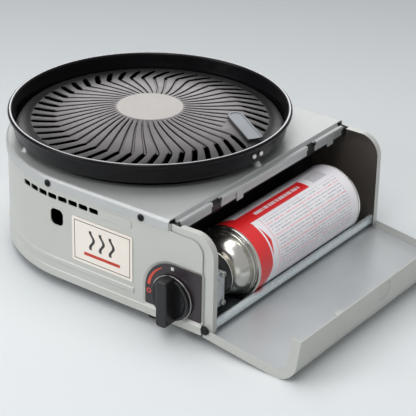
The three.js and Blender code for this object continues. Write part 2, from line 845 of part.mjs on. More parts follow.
function floorPan() {
  const inner = wallInner - seat;
  let pan = solid(plan(roundEnded(inner, panEnd), panBottom, panTop, endSteps));
  const hem = rectangle(panEnd - panSheet, panEnd, panBottom, panTop + panHem);
  pan = pan.add(solid(elevation(hem, -inner + panHem, inner - panHem)));
  const troughOuter = roundedRectangle(troughStart, troughEnd, troughFront, troughBack, panHem + panSheet);
  const troughInner = roundedRectangle(
    troughStart + panSheet, troughEnd - panSheet, troughFront + panSheet, troughBack - panSheet, panHem);
  pan = pan.add(solid(plan(troughOuter, troughFloor - panSheet, panTop, cornerSteps)));
  pan = pan.subtract(solid(plan(troughInner, troughFloor, panTop + overrun, cornerSteps)));
  for (const y of [canFront + saddleWidth / 2, canBack - saddleWidth / 2]) {
    const saddle = rectangle(troughStart + panHem, troughEnd - panHem, troughFloor - panSheet / 2, saddleTop);
    pan = pan.add(solid(elevation(saddle, y - saddleWidth / 2, y + saddleWidth / 2)));
  }
  return pan;
}

// Places where the lead and the gas pipe pass through the partition, as [y, z].
const leadPass = [regulatorY, igniterZ + igniterHeight / 2];
const pipePass = [regulatorY, outletZ];

function partition() {
  const line = [
    [shieldX - shieldFoot, shieldBottom], [shieldX, shieldBottom], [shieldX, shieldKnee],
    [shieldRail, shieldShoulder], [shieldRail, topUnderside - seat]];
  let sheet = solid(elevation(strip(line, shieldSheet), -shieldHalf, shieldHalf));
  for (const [y, z] of [leadPass, pipePass]) {
    const hole = crossSection(disc(y, z, shieldHole), shieldX - overrun, shieldX + overrun, discSteps);
    sheet = sheet.subtract(solid(hole));
  }
  return sheet;
}

function catchClip() {
  const left = shieldRail + seat;
  const right = left + clipWidth;
  const low = topHeight - ledgeDrop - railDepth;
  const high = low + clipHeight;
  const line = [
    [left, low], [right, low], [right, high - clipNose], [right - clipNose, high], [left + clipNose, high],
    [left + clipNose, high - clipNose], [left, high - 2 * clipNose]];
  return elevation(outline(line), -clipLength / 2, clipLength / 2);
}

function cornerPiece(side) {
  const left = topEnd + ledgeRelief;
  const right = left + cornerLength;
  const high = riseTop - bodySheet;
  const low = high - cornerHeight;
  const edge = cornerHeight / 10;
  const line = [
    [left, low + cornerHeight / 2], [left + cornerLength / 2, low], [right, low], [right, high - edge],
    [right - edge, high], [left, high]];
  const inner = railHalf + seat;
  const back = elevation(outline(line), inner, inner + cornerWidth);
  return side > 0 ? back : elevation(outline(line), -inner - cornerWidth, -inner);
}

function skirtScrew(side, straight) {
  const head = bodyRadius + seat;
  const top = head + screwHeadHeight;
  const profile = [
    [0, -top], [screwHead / 2, -top], [screwHead, -head - screwHeadHeight / 3], [screwHead, -head],
    [screwShaft, -head], [screwShaft, -head + screwLength], [0, -head + screwLength]];
  return placeScrew(screwAxis(profile, smallSteps), side, straight);
}

function foot(x, y) {
  const top = panBottom - seat;
  const inner = footRadius - footEdge;
  const profile = [[0, 0], [inner, 0], [footRadius, footEdge], [inner, top], [0, top]];
  return upright(profile, 2 * discSteps).translate(x, y, 0);
}

function hingeTube() {
  const half = marginBack - 2 * seat - washerHeight;
  return frontToBack(ringProfile(tubeBore, tubeRadius, -half, half), smallSteps).translate(hingeX, 0, hingeZ);
}

function hingeWasher(side) {
  const start = marginBack - seat - washerHeight;
  const places = side > 0 ? [start, start + washerHeight] : [-start - washerHeight, -start];
  return frontToBack(ringProfile(tubeBore, washerRadius, ...places), smallSteps).translate(hingeX, 0, hingeZ);
}

function hingePin(side) {
  const face = wallOuter + seat;
  const top = face + pinHeadHeight;
  const edge = pinHeadHeight / 2;
  const profile = [
    [0, top], [pinHead - edge, top], [pinHead, top - edge], [pinHead, face], [pinRadius, face],
    [pinRadius, face - pinDepth], [0, face - pinDepth]];
  const pin = frontToBack(profile, pinSteps);
  if (side < 0) pin.rotateX(Math.PI);
  return pin.translate(hingeX, 0, hingeZ);
}

// Closed cover seen from the front, from the hinge axis: the line of its outer face, moved in by a distance.
function coverOutline(inset, lowEnd) {
  const right = coverReach - inset;
  const high = topHeight - hingeZ - inset;
  const corner = coverCorner - inset;
  const shape = new THREE.Path();
  shape.moveTo(right, lowEnd);
  shape.lineTo(right, high - corner);
  shape.absarc(coverReach - coverCorner, high - corner, corner, 0, Math.PI / 2, false);
  shape.lineTo(coverReach - coverLip, high);
  return shape.getPoints(cornerSteps);
}

function coverSection(thickness, lowEnd) {
  return new THREE.Shape([...coverOutline(0, lowEnd), ...coverOutline(thickness, lowEnd).reverse()]);
}

function containerCover() {
  let cover = solid(elevation(coverSection(coverSheet, -coverSkirt), -wallOuter, wallOuter));
  const flange = solid(elevation(coverSection(flangeWidth, -coverSkirt), 0, coverSheet));
  const ear = solid(elevation(disc(0, 0, earRadius), 0, coverSheet, discSteps));
  const link = solid(elevation(rectangle(0, coverReach, -coverSkirt, earRadius), 0, coverSheet));
  const hole = solid(elevation(disc(0, 0, pinRadius + running), -overrun, coverSheet + overrun, discSteps));
  const end = geometryOf(flange.add(ear).add(link).subtract(hole));
  cover = cover.add(solid(end.clone().translate(0, -wallOuter, 0)));
  cover = cover.add(solid(end.clone().translate(0, wallOuter - coverSheet, 0)));
  const lipEdge = coverReach - coverLip;
  const lipUnder = topHeight - hingeZ - coverSheet;
  for (const y of clipPlaces) {
    const hook = rectangle(lipEdge, lipEdge + coverSheet, lipUnder - hookDepth, lipUnder + coverSheet / 2);
    cover = cover.add(solid(elevation(hook, y - hookLength / 2, y + hookLength / 2)));
  }
  const gripX = lipEdge + gripRadius + coverSheet;
  const gripZ = topHeight - hingeZ - gripDepth;
  const grip = upright(rodProfile(gripRadius, gripZ, gripZ + overrun), middleSteps).translate(gripX, 0, 0);
  return cover.subtract(solid(grip));
}

function knob() {
  const plate = frontToBack([
    [0, 0], [knobRadius, 0], [knobRadius, -knobDisc + knobBarEdge], [knobRadius - knobBarEdge, -knobDisc],
    [0, -knobDisc]], roundSteps);
  const halfLength = knobBarLength / 2 - knobBarEdge;
  const halfWidth = knobBarWidth / 2 - knobBarEdge;
  const shape = roundedRectangle(-halfWidth, halfWidth, -halfLength, halfLength, knobBarEdge);
  const bevel = { bevelEnabled: true, bevelSize: knobBarEdge, bevelThickness: knobBarEdge, bevelSegments: 1 };
  const barStart = knobRingHeight + 2 * seat;
  const depth = knobBarHeight + knobDisc - barStart - 2 * knobBarEdge;
  const bar = extruded(shape, depth, edgeSteps, bevel).rotateX(Math.PI / 2);
  bar.translate(0, -barStart - knobBarEdge, 0);
  const bore = frontToBack(rodProfile(spindleRadius + seat, -knobDisc - seat, overrun), smallSteps);
  return solid(plate).add(solid(bar)).subtract(solid(bore));
}

function knobRingPart() {
  const inner = knobRadius + seat;
  return frontToBack(ringProfile(inner, inner + knobRing, -knobRingHeight - seat, -seat), roundSteps);
}

// The pressed front end: its rolled seam, a groove behind it, the dome and the neck.
function cartridgeDome() {
  const seam = canRadius + canSeam;
  const lip = canSeamHeight / 2;
  const inward = seamEdgeShares.map((share) => seam - share * lip);
  const shoulder = inward[inward.length - 1];
  const profile = [
    [0, canFront + 2 * lip], [seam, canFront + 2 * lip], [seam, canFront + lip / 2],
    [seam - lip / 2, canFront], [seam - lip, canFront], [inward[0], canFront + lip],
    [inward[1], canFront + lip], [inward[2], canFront - lip], [inward[3], canFront - lip],
    [shoulder, canFront - lip / 2]];
  const domeStart = canFront - lip / 2;
  const neckBack = noseTip + 2 * canSeamHeight;
  for (let i = 1; i <= domeSteps; i++) {
    const turn = (i * Math.PI) / 2 / domeSteps;
    const radius = canNeck + (shoulder - canNeck) * Math.cos(turn);
    profile.push([radius, domeStart - (domeStart - neckBack) * Math.sin(turn)]);
  }
  profile.push([canNeck, noseTip], [0, noseTip]);
  const wide = shoulder - canHollow / 2;
  const open = canFront + canSeamHeight + overrun;
  const room = [
    [0, open], [wide, open], [wide, canFront - canHollow], [canNeck - canHollow, neckBack], [0, neckBack]];
  return solid(frontToBack(profile, roundSteps)).subtract(solid(frontToBack(room, roundSteps)));
}

function cartridgeBase() {
  const seam = canRadius + canSeam;
  const start = canBack - canSeamHeight;
  const lip = canSeamHeight / 2;
  const profile = [
    [0, start + seat], [seam, start + seat], [seam, canBack - lip / 2], [seam - lip / 2, canBack],
    [seam - lip, canBack], [seam - seamEdgeShares[0] * lip, start + lip], [0, start + lip]];
  return frontToBack(profile, roundSteps);
}

function cartridgeFlange() {
  const front = noseTip - seat - canFlangeSheet;
  const ring = frontToBack(ringProfile(canCup + seat, canFlange, front, front + canFlangeSheet), roundSteps);
  const notch = rectangle(-canNotch / 2, canNotch / 2, canFlange - canNotch, canFlange + overrun);
  return solid(ring).subtract(solid(elevation(notch, front - overrun, front + canFlangeSheet + overrun)));
}

function valveCup() {
  const back = noseTip - seat;
  const front = back - canFlangeSheet - canCupHeight;
  const half = canCupHeight / 2;
  const profile = [
    [0, back], [canCup, back], [canCup, front + half], [canCup - half, front], [canCup - 4 * half, front],
    [canCup - 6 * half, back - half], [0, back - half]];
  return frontToBack(profile, middleSteps);
}

function valveStem() {
  const back = noseTip - canCupHeight / 2 - 2 * seat;
  const collar = back - canCupHeight / 2;
  return frontToBack([
    [0, back], [canStem * 2, back], [canStem * 2, collar], [canStem, collar], [canStem, back - canStemLength],
    [0, back - canStemLength]], smallSteps);
}

// Front of the cartridge's flange, which the holder's ring faces.
const holderFace = noseTip - 2 * seat - canFlangeSheet;

function boltPlaces() {
  return [[-1, -1], [-1, 1], [1, -1], [1, 1]].map(([a, b]) => [
    regulatorY + a * boltCircleHalf, regulatorZ + b * boltCircleHalf]);
}

function regulatorSquare() {
  const half = regulatorHalf;
  return roundedRectangle(
    regulatorY - half, regulatorY + half, regulatorZ - half, regulatorZ + half, regulatorCorner);
}

function regulatorBody() {
  const waist = (regulatorLeft + regulatorRight) / 2;
  const block = solid(crossSection(regulatorSquare(), waist, regulatorRight, cornerSteps));
  const barrel = [[0, regulatorLeft], [regulatorHalf - regulatorCorner / 2, regulatorLeft],
    [regulatorHalf, regulatorLeft + regulatorCorner], [regulatorHalf, waist + regulatorCorner],
    [0, waist + regulatorCorner]];
  const turned = solid(sideways(barrel, middleSteps).translate(0, regulatorY, regulatorZ));
  const neckStart = regulatorY + regulatorHalf - regulatorCorner;
  const neckEnd = holderFace - seat - canCupHeight;
  const neck = frontToBack(rodProfile(regulatorNeck, neckStart, neckEnd), middleSteps);
  neck.translate(canX, 0, canZ);
  const outletStart = regulatorLeft - outletLength;
  const outlet = sideways(rodProfile(regulatorOutlet, outletStart, waist), smallSteps);
  let casting = joined([block, turned, solid(neck), solid(outlet.translate(0, regulatorY, outletZ))]);
  const wallSide = rectangle(0, bodyEnd, 0, topHeight);
  casting = casting.subtract(solid(elevation(wallSide, cutFront, -wallInner + bodySheet)));
  const spindleEnd = spindleLength - wallOuter - knobDisc;
  const bore = frontToBack(rodProfile(spindleRadius + running, cutFront, spindleEnd), pinSteps);
  const stemEnd = noseTip - 3 * seat - canCupHeight / 2 - canStemLength;
  const inlet = frontToBack(rodProfile(regulatorInlet, stemEnd, noseTip), smallSteps);
  const outletProfile = rodProfile(pipeRadius + seat, outletStart - overrun, regulatorLeft);
  const outletBore = sideways(outletProfile, smallSteps).translate(0, regulatorY, outletZ);
  casting = casting.subtract(solid(bore.translate(knobX, 0, knobZ)));
  casting = casting.subtract(solid(inlet.translate(canX, 0, canZ))).subtract(solid(outletBore));
  const holeProfile = rodProfile(boltShaft + seat, regulatorRight - boltLength, regulatorRight + overrun);
  const hole = sideways(holeProfile, smallSteps);
  for (const [y, z] of boltPlaces()) casting = casting.subtract(solid(hole.clone().translate(0, y, z)));
  return casting;
}

function diaphragmCover() {
  const start = regulatorRight + seat;
  const face = start + coverPlate;
  let cover = solid(crossSection(regulatorSquare(), start, face, cornerSteps));
  const dome = [
    [0, start], [coverDome, start], [coverDome, face],
    [coverDome - coverPlate / 2, face + coverDomeHeight / 2],
    [coverDome / 2, face + coverDomeHeight], [0, face + coverDomeHeight]];
  cover = cover.add(solid(sideways(dome, middleSteps).translate(0, regulatorY, regulatorZ)));
  const room = sideways(rodProfile(boltHead + seat, face, face + coverDomeHeight + overrun), smallSteps);
  const hole = sideways(rodProfile(boltShaft + seat, start - overrun, face + overrun), smallSteps);
  for (const [y, z] of boltPlaces()) {
    cover = cover.subtract(solid(room.clone().translate(0, y, z)));
    cover = cover.subtract(solid(hole.clone().translate(0, y, z)));
  }
  return cover;
}

function regulatorBolt([y, z]) {
  const face = regulatorRight + seat + coverPlate + seat;
  const top = face + boltHeadHeight;
  const profile = [
    [0, face - boltLength], [boltShaft, face - boltLength], [boltShaft, face], [boltHead, face],
    [boltHead, top - boltHeadHeight / 3], [boltHead - boltHeadHeight / 3, top], [0, top]];
  return sideways(profile, wireSteps).translate(0, y, z);
}

function cartridgeHolder() {
  const front = regulatorY + regulatorHalf + seat;
  const back = holderFace - seat;
  const inner = regulatorNeck + holderBore;
  const seatRadius = canCup + 2 * seat;
  const seatFace = back - 2 * canCupHeight;
  const profile = [
    [inner, front], [holderRadius - holderLip, front], [holderRadius, front + holderLip],
    [holderRadius, back], [holderRadius - holderLip, back], [seatRadius, back - holderLipDepth],
    [seatRadius, seatFace], [inner, seatFace], [inner, front]];
  return frontToBack(profile, middleSteps).translate(canX, 0, canZ);
}

function igniterBlock() {
  const half = igniterHeight / 2;
  const middle = igniterZ + half;
  const shape = roundedRectangle(-half, half, middle - half, middle + half, half / 3);
  const front = -wallOuter + plateRecess + bodySheet + seat;
  return elevation(shape, front, front + igniterDepth, edgeSteps).scale(igniterLength / igniterHeight, 1, 1)
    .translate(igniterX + igniterLength / 2, 0, 0);
}

function igniterLead() {
  const [y, z] = leadPass;
  const bends = leadAcrossShares.map((share, i) => [share * shieldX, leadAlongShares[i] * y]);
  const under = electrodeZ - armWidth;
  return wire([
    [igniterX - seat, y, z], [shieldX - shieldSheet, y, z], [...bends[0], z], [...bends[1], (z + under) / 2],
    [...bends[2], under - armSheet], [0, electrodeY - armSheet, under], [0, electrodeY, electrodeZ - seat]],
  leadRadius, leadSteps);
}

function electrode() {
  const high = electrodeZ + electrodeLength;
  const profile = [
    [0, electrodeZ], [electrodeRadius, electrodeZ], [electrodeRadius, high],
    [electrodeRadius / 2, high + tipRadius], [0, high + tipRadius]];
  return upright(profile, smallSteps).translate(0, electrodeY, 0);
}

function electrodeTip() {
  const low = electrodeZ + electrodeLength + tipRadius + seat;
  const reach = -bowlFlare - 2 * tipRadius - seat;
  const high = low + 4 * tipRadius;
  return wire([
    [0, electrodeY, low], [0, electrodeY, low + 2 * tipRadius], [0, (electrodeY + reach) / 2, high],
    [0, reach, high]], tipRadius, wireSteps);
}

// Arm on the burner bowl that holds the electrode.
function electrodeArm() {
  const low = bowlTop - capHeight - armWidth;
  const wall = -bowlRadius - 2 * armSheet;
  const line = [[electrodeY - electrodeRadius - armWidth / 3, low], [wall, low], [wall, low - armWidth / 2]];
  const arm = solid(crossSection(strip(line, armSheet), -armWidth / 2, armWidth / 2));
  const hole = upright(rodProfile(electrodeRadius + seat, low - overrun, low + overrun), smallSteps);
  return arm.subtract(solid(hole.translate(0, electrodeY, 0)));
}

// Turns a form along X to the direction in which the gas is fed, at the height of the mixing tube.
function alongFeed(geometry) {
  return geometry.translate(0, 0, feedZ).rotateZ(feedTurn);
}

const nozzleFront = mixerStart + mixerLength + nozzleGap / 2;
const nozzleEnd = mixerStart + mixerLength + nozzleLength;

function gasPipe() {
  const end = new THREE.Vector2(nozzleEnd + seat, 0).rotateAround(new THREE.Vector2(), feedTurn);
  const bend = end.clone().multiplyScalar(pipeBendShare);
  const start = regulatorLeft - outletLength + seat;
  const [y, z] = pipePass;
  return wire([
    [start, y, z], [shieldX, y, z], [shieldX - 3 * pipeRadius, y, z + pipeRadius / 2],
    [bend.x + 2 * pipeRadius, y + 4 * pipeRadius, (z + feedZ) / 2], [bend.x, bend.y, feedZ - pipeRadius / 2],
    [end.x, end.y, feedZ]], pipeRadius, pipeSteps);
}

function gasNozzle() {
  const hex = nozzleRadius * nozzleHexShare;
  const step = nozzleGap / 2;
  return alongFeed(sideways([
    [0, nozzleFront], [hex / 2, nozzleFront], [hex, nozzleFront + step], [nozzleRadius, nozzleFront + step],
    [nozzleRadius, nozzleEnd - step], [pipeRadius + seat, nozzleEnd], [0, nozzleEnd]], wireSteps));
}

function mixingTube() {
  const end = mixerStart + mixerLength;
  const neck = end - mixerMouth;
  const middle = mixerStart + mixerLength / 2;
  const outer = [[mixerRadius, mixerStart], [mixerRadius, middle], [mixerThroat, neck], [mixerMouth, end]];
  const inner = outer.map(([r, x]) => [r - mixerSheet, x]).reverse();
  return alongFeed(sideways([...outer, ...inner, outer[0]], middleSteps));
}

function burnerBowl() {
  const inner = bowlRadius - bowlWall;
  const round = bowlThroat / 2;
  const neck = bowlTop - capHeight;
  const profile = [
    [0, bowlBottom], [bowlRadius - round, bowlBottom], [bowlRadius, bowlBottom + round],
    [bowlRadius, neck], [bowlFlare, bowlTop], [bowlFlare - bowlWall, bowlTop], [inner, neck + bowlWall / 2],
    [inner, bowlBottom + round], [bowlRadius - round, bowlBottom + bowlWall], [0, bowlBottom + bowlWall]];
  const rod = (radius, start, end) => solid(alongFeed(sideways(rodProfile(radius, start, end), middleSteps)));
  const boss = rod(mixerRadius, bowlRadius - round, mixerStart - seat);
  const bore = rod(mixerRadius - mixerSheet, 0, mixerStart + overrun);
  return solid(upright(profile, middleSteps)).add(boss).subtract(bore);
}

function burnerCap() {
  const low = bowlTop + seat;
  const high = low + capHeight;
  const profile = [
    [0, low + capWall], [bowlRadius, low + capWall], [bowlFlare - 2 * capWall, low], [bowlFlare, low],
    [bowlFlare + capWall / 3, low + portHeight], [bowlFlare - capWall, high - capWall], [bowlRadius, high],
    [capDish, high], [capDish - capWall, high - capWall / 2], [0, high - capWall / 2]];
  let cap = solid(upright(profile, portCount * 2));
  const port = rectangle(-portWidth / 2, portWidth / 2, low - overrun, low + portHeight);
  for (let i = 0; i < portCount; i++) {
    const turn = ((i + 1 / 2) * Math.PI * 2) / portCount;
    const cutter = elevation(port, bowlFlare - 2 * capWall, bowlFlare + 2 * capWall).rotateZ(turn);
    cap = cap.subtract(solid(cutter));
  }
  return cap;
}

function burnerStand() {
  const top = bowlBottom - seat;
  const low = shieldBottom + standSheet;
  const end = standHalf + standFoot;
  const line = [
    [end, low], [standHalf, low], [standHalf, top], [-standHalf, top], [-standHalf, low], [-end, low]];
  return elevation(strip(line, standSheet), -standWidth / 2, standWidth / 2);
}

// The tray's side wall leans out. Two rivets go through it and through the bracket inside it.
const wallFoot = trayBearing + traySheet + trayCorner;
const wallHead = rimTop - 2 * rimRoll;
const wallSlope = (rimRadius - 2 * rimRoll - trayShoulder + traySheet) / (wallHead - wallFoot);
const rivetZ = (wallFoot + wallHead) / 2;

function waterTray() {
  const ledge = trayBearing + traySheet;
  const floor = trayFloorZ + traySheet;
  const round = trayCorner / 2;
  const roll = [];
  for (let i = 0; i <= rollSteps; i++) {
    const turn = Math.PI - (i * Math.PI * rollShare) / rollSteps;
    roll.push([rimRadius - rimRoll + rimRoll * Math.cos(turn), rimTop - rimRoll + rimRoll * Math.sin(turn)]);
  }
  const outerFoot = trayLedgeInner - trayLean;
  const outer = [
    [trayInside(wallHead) + traySheet, wallHead], [trayShoulder, wallFoot],
    [trayShoulder - round, trayBearing + round], [trayShoulder - trayCorner, trayBearing],
    [trayLedgeInner, trayBearing], [outerFoot, trayFloorZ + trayCorner], [outerFoot - trayCorner, trayFloorZ],
    [trayChimney + trayLean, trayFloorZ], [trayChimney, chimneyTop]];
  const chimneyInner = trayChimney + traySheet;
  const innerFoot = outerFoot - traySheet;
  const inner = [
    [chimneyInner, chimneyTop], [chimneyInner + trayLean, floor], [innerFoot - trayCorner, floor],
    [innerFoot, floor + round], [trayLedgeInner - traySheet, ledge], [trayShoulder - traySheet - round, ledge],
    [trayShoulder - traySheet, wallFoot]];
  const tray = solid(upright([...roll, ...outer, ...inner, roll[0]], traySteps));
  return tray.subtract(rivetHole(-1)).subtract(rivetHole(1));
}

function trayInside(z) {
  return trayShoulder - traySheet + (z - wallFoot) * wallSlope;
}

function rivetForm(profile, side) {
  const form = sideways(profile, wireSteps).translate(trayInside(rivetZ), (side * rivetSpacing) / 2, rivetZ);
  return form.rotateZ(bracketTurn);
}

function rivetHole(side) {
  const reach = bracketSheet + bracketGap + overrun;
  return solid(rivetForm(rodProfile(rivetShaft + seat, -reach, reach), side));
}

function trayRivet(side) {
  const face = traySheet + rivetStand;
  const inside = -bracketGap - bracketSheet - seat;
  const top = face + rivetHeight;
  return rivetForm([
    [0, inside], [rivetShaft, inside], [rivetShaft, face], [rivetHead, face],
    [rivetHead - rivetHeight / 2, top], [0, top]], side);
}

function locatingBracket() {
  const low = wallFoot + 2 * seat;
  const high = rivetZ + bracketHeight / 3;
  const foot = trayInside(low) - bracketGap;
  const line = [[foot - bracketReach, low], [foot, low], [trayInside(high) - bracketGap, high]];
  const sheet = elevation(strip(line, bracketSheet), -bracketWidth / 2, bracketWidth / 2);
  return solid(sheet.rotateZ(bracketTurn)).subtract(rivetHole(-1)).subtract(rivetHole(1));
}

// Height of the plate's top between the centre disc and the ends of the slots.
function domeHeight(radius) {
  const share = (radius - discRadius) / (slotOuter - discRadius);
  return grillTop - grillDrop * share ** domeCurveShare;
}

// Turn of the middle of a groove, or of a slot, at a radius.
function swirlAt(radius) {
  const outward = (radius - slotInner) / slotLength;
  if (outward >= 0) return THREE.MathUtils.degToRad(slotTurnDegrees) * outward;
  const inward = (slotInner - radius) / (slotInner - discRadius);
  return THREE.MathUtils.degToRad(grooveTurnDegrees) * inward ** grooveCurveShare;
}

// Rows of the plate from the centre disc outwards: the grooves, and then the slots that they open into.
function plateRows() {
  const grooveLength = slotInner - discRadius;
  const rows = grooveRowShares.map((share) => ({
    radius: discRadius + share * grooveLength,
    width: grooveStart + share * (slotEntry - grooveStart),
    slot: share === 1,
  }));
  const ends = [[slotRoundShare, slotWidth], [1 - slotRoundShare, slotWidth], [1, slotEntry]];
  for (const [share, width] of ends) rows.push({ radius: slotInner + share * slotLength, width, slot: true });
  return rows;
}

// The plate is built pitch by pitch. Each pitch has a curved groove that deepens from the centre disc,
// opens into a leaning slot and leaves a rib between it and the next one. The pitches by the lifting tab
// have no slot.
function grillPlate() {
  const places = [];
  const triangles = [];
  const vertex = (radius, turn, z) => places.push([radius * Math.cos(turn), radius * Math.sin(turn), z]) - 1;
  const face = (...ring) => {
    for (let i = 2; i < ring.length; i++) triangles.push(ring[0], ring[i - 1], ring[i]);
  };
  const pitch = (Math.PI * 2) / slotCount;
  const phase = THREE.MathUtils.degToRad(slotPhaseDegrees);
  const rows = plateRows();
  const first = grooveRowShares.length - 1;
  const last = rows.length - 1;
  rows.forEach((row, i) => {
    const half = row.width / 2 / row.radius;
    row.top = domeHeight(row.radius);
    row.turns = Array.from({ length: slotCount }, (_, k) => {
      const middle = k * pitch + phase + swirlAt(row.radius);
      return [middle - half, middle + half];
    });
    const ring = (z) => row.turns.map(([a, b]) => [vertex(row.radius, a, z), vertex(row.radius, b, z)]);
    row.upper = ring(row.top);
    if (i > 0 && i <= first) row.groove = ring(row.top - grooveDepth);
    if (row.slot) row.under = ring(row.top - grillThickness);
  });
  const footZ = trayBearing + traySheet + seat;
  const ringOf = (row, radius, z) => row.turns.map(([a, b]) => [vertex(radius, a, z), vertex(radius, b, z)]);
  const marginZ = rows[last].top - marginFall;
  const fallRadius = (slotOuter + grillRadius) / 2;
  const skin = [
    rows[last].upper, ringOf(rows[last], fallRadius, marginZ), ringOf(rows[last], grillRadius, marginZ - seat),
    ringOf(rows[last], grillRadius, footZ), ringOf(rows[last], grillRadius - footWidth, footZ), rows[last].under];
  const discZ = grillTop - grillThickness;
  const discUnder = ringOf(rows[0], discRadius, discZ);
  const topCentre = vertex(0, 0, grillTop);
  const underCentre = vertex(0, 0, discZ);

  for (let k = 0; k < slotCount; k++) {
    const next = (k + 1) % slotCount;
    const solidPitch = unslotted.includes(k);
    face(topCentre, rows[0].upper[k][0], rows[0].upper[k][1]);
    face(topCentre, rows[0].upper[k][1], rows[0].upper[next][0]);
    face(underCentre, discUnder[k][1], discUnder[k][0]);
    face(underCentre, discUnder[next][0], discUnder[k][1]);
    for (let i = 0; i < last; i++) {
      const [a, b] = [rows[i], rows[i + 1]];
      face(a.upper[k][1], b.upper[k][1], b.upper[next][0], a.upper[next][0]);
      if (i === 0) {
        face(a.upper[k][0], b.groove[k][0], b.groove[k][1], a.upper[k][1]);
        face(a.upper[k][0], b.upper[k][0], b.groove[k][0]);
        face(a.upper[k][1], b.groove[k][1], b.upper[k][1]);
      } else if (i < first) {
        face(a.groove[k][0], b.groove[k][0], b.groove[k][1], a.groove[k][1]);
        face(a.upper[k][0], b.upper[k][0], b.groove[k][0], a.groove[k][0]);
        face(a.upper[k][1], a.groove[k][1], b.groove[k][1], b.upper[k][1]);
      } else {
        face(a.under[next][0], b.under[next][0], b.under[k][1], a.under[k][1]);
        if (solidPitch) {
          face(a.upper[k][0], b.upper[k][0], b.upper[k][1], a.upper[k][1]);
          face(a.under[k][1], b.under[k][1], b.under[k][0], a.under[k][0]);
          if (i === first) face(a.upper[k][0], a.upper[k][1], a.groove[k][1], a.groove[k][0]);
        } else if (i === first) {
          face(a.groove[k][0], a.upper[k][0], b.upper[k][0], b.under[k][0], a.under[k][0]);
          face(a.groove[k][1], a.under[k][1], b.under[k][1], b.upper[k][1], a.upper[k][1]);
          face(a.groove[k][0], a.under[k][0], a.under[k][1], a.groove[k][1]);
        } else {
          face(a.upper[k][0], b.upper[k][0], b.under[k][0], a.under[k][0]);
          face(a.upper[k][1], a.under[k][1], b.under[k][1], b.upper[k][1]);
        }
      }
    }
    const end = rows[last];
    if (!solidPitch) face(end.upper[k][0], end.upper[k][1], end.under[k][1], end.under[k][0]);
    for (let i = 0; i + 1 < skin.length; i++) {
      face(skin[i][k][0], skin[i + 1][k][0], skin[i + 1][k][1], skin[i][k][1]);
      face(skin[i][k][1], skin[i + 1][k][1], skin[i + 1][next][0], skin[i][next][0]);
    }
    const inner = rows[first].under;
    face(discUnder[k][0], discUnder[k][1], inner[k][1], inner[k][0]);
    face(discUnder[k][1], discUnder[next][0], inner[next][0], inner[k][1]);
  }
  const geometry = new THREE.BufferGeometry();
  geometry.setAttribute('position', new THREE.BufferAttribute(new Float32Array(places.flat()), 3));
  geometry.setIndex(triangles);
  const half = notchWidth / 2;
  const notch = (depth, turn) => solid(
    elevation(rectangle(grillRadius - depth, grillRadius + overrun, 0, grillTop), -half, half).rotateZ(turn));
  return solid(geometry).subtract(notch(fingerDepth, notchTurn)).subtract(notch(notchDepth, bracketTurn));
}

// A flat tab with a round inner end that lies on the plate's slope.
function liftingTab() {
  const at = (radius, degrees) => new THREE.Vector2(radius, 0).rotateAround(
    new THREE.Vector2(), THREE.MathUtils.degToRad(degrees));
  const inner = at(tabInnerRadius, tabInnerDegrees);
  const outer = at(tabOuterRadius, tabOuterDegrees);
  const along = outer.clone().sub(inner);
  const half = tabWidth / 2;
  const shape = new THREE.Shape();
  shape.moveTo(along.length(), half);
  shape.lineTo(0, half);
  shape.absarc(0, 0, half, Math.PI / 2, Math.PI * 1.5, false);
  shape.lineTo(along.length(), -half);
  shape.closePath();
  const high = domeHeight(inner.length() - half);
  const low = domeHeight(outer.length());
  const slope = Math.atan2(high - low, along.length() + half);
  const edge = tabThickness / 4;
  const bevel = {
    bevelEnabled: true, bevelSize: edge, bevelOffset: -edge, bevelThickness: edge, bevelSegments: 1 };
  const tab = extruded(shape, tabThickness - 2 * edge, cornerSteps + 1, bevel).translate(0, 0, edge);
  return tab.rotateY(slope).rotateZ(along.angle()).translate(inner.x, inner.y, high + 2 * seat);
}

addPart(bodyGroup, 'body_shell', bodyShell(), paint);
addPart(bodyGroup, 'top_plate', topPlate(), paint);
addPart(bodyGroup, 'floor_pan', floorPan(), galvanised);
addPart(bodyGroup, 'partition', partition(), blackSheet);
['front', 'back'].forEach((end, i) => {
  const side = i === 0 ? -1 : 1;
  addPart(bodyGroup, `catch_clip_${end}`, catchClip(), blackPlastic).position.y = side * clipY;
  addPart(bodyGroup, `corner_piece_${end}`, cornerPiece(side), blackPlastic);
  addPart(bodyGroup, `hinge_washer_${end}`, hingeWasher(side), steel);
  addPart(bodyGroup, `hinge_pin_${end}`, hingePin(side), blackPlastic);
  addPart(bodyGroup, `foot_right_${end}`, foot(footRightX, side * footRightY), rubber);
  addPart(bodyGroup, `foot_left_${end}`, foot(footLeft.x, side * footLeft.y), rubber);
  addPart(trayGroup, `tray_rivet_${end}`, trayRivet(side), steel);
});
for (const [spot, side, straight] of screwSpots) {
  addPart(bodyGroup, `skirt_screw_${spot}`, skirtScrew(side, straight), blackPlastic);
}
addPart(bodyGroup, 'hinge_tube', hingeTube(), galvanised);

const faceBack = -wallOuter + plateRecess - seat;
const faceHoleShape = disc(knobX, knobZ, spindleRadius + 2 * seat);
const faceHole = solid(elevation(faceHoleShape, cutFront, -wallInner + overrun, discSteps));
const face = solid(elevation(faceOutline(0), faceBack - plateThickness, faceBack)).subtract(faceHole);
addPart(bodyGroup, 'faceplate', face, facePlastic);
const labelShape = roundedRectangle(labelLeft, labelLeft + labelWidth, labelLow, labelTop, plateCorner);
const labelBack = -wallOuter - seat;
addPart(bodyGroup, 'name_plate', elevation(labelShape, labelBack - labelThickness, labelBack), cream);

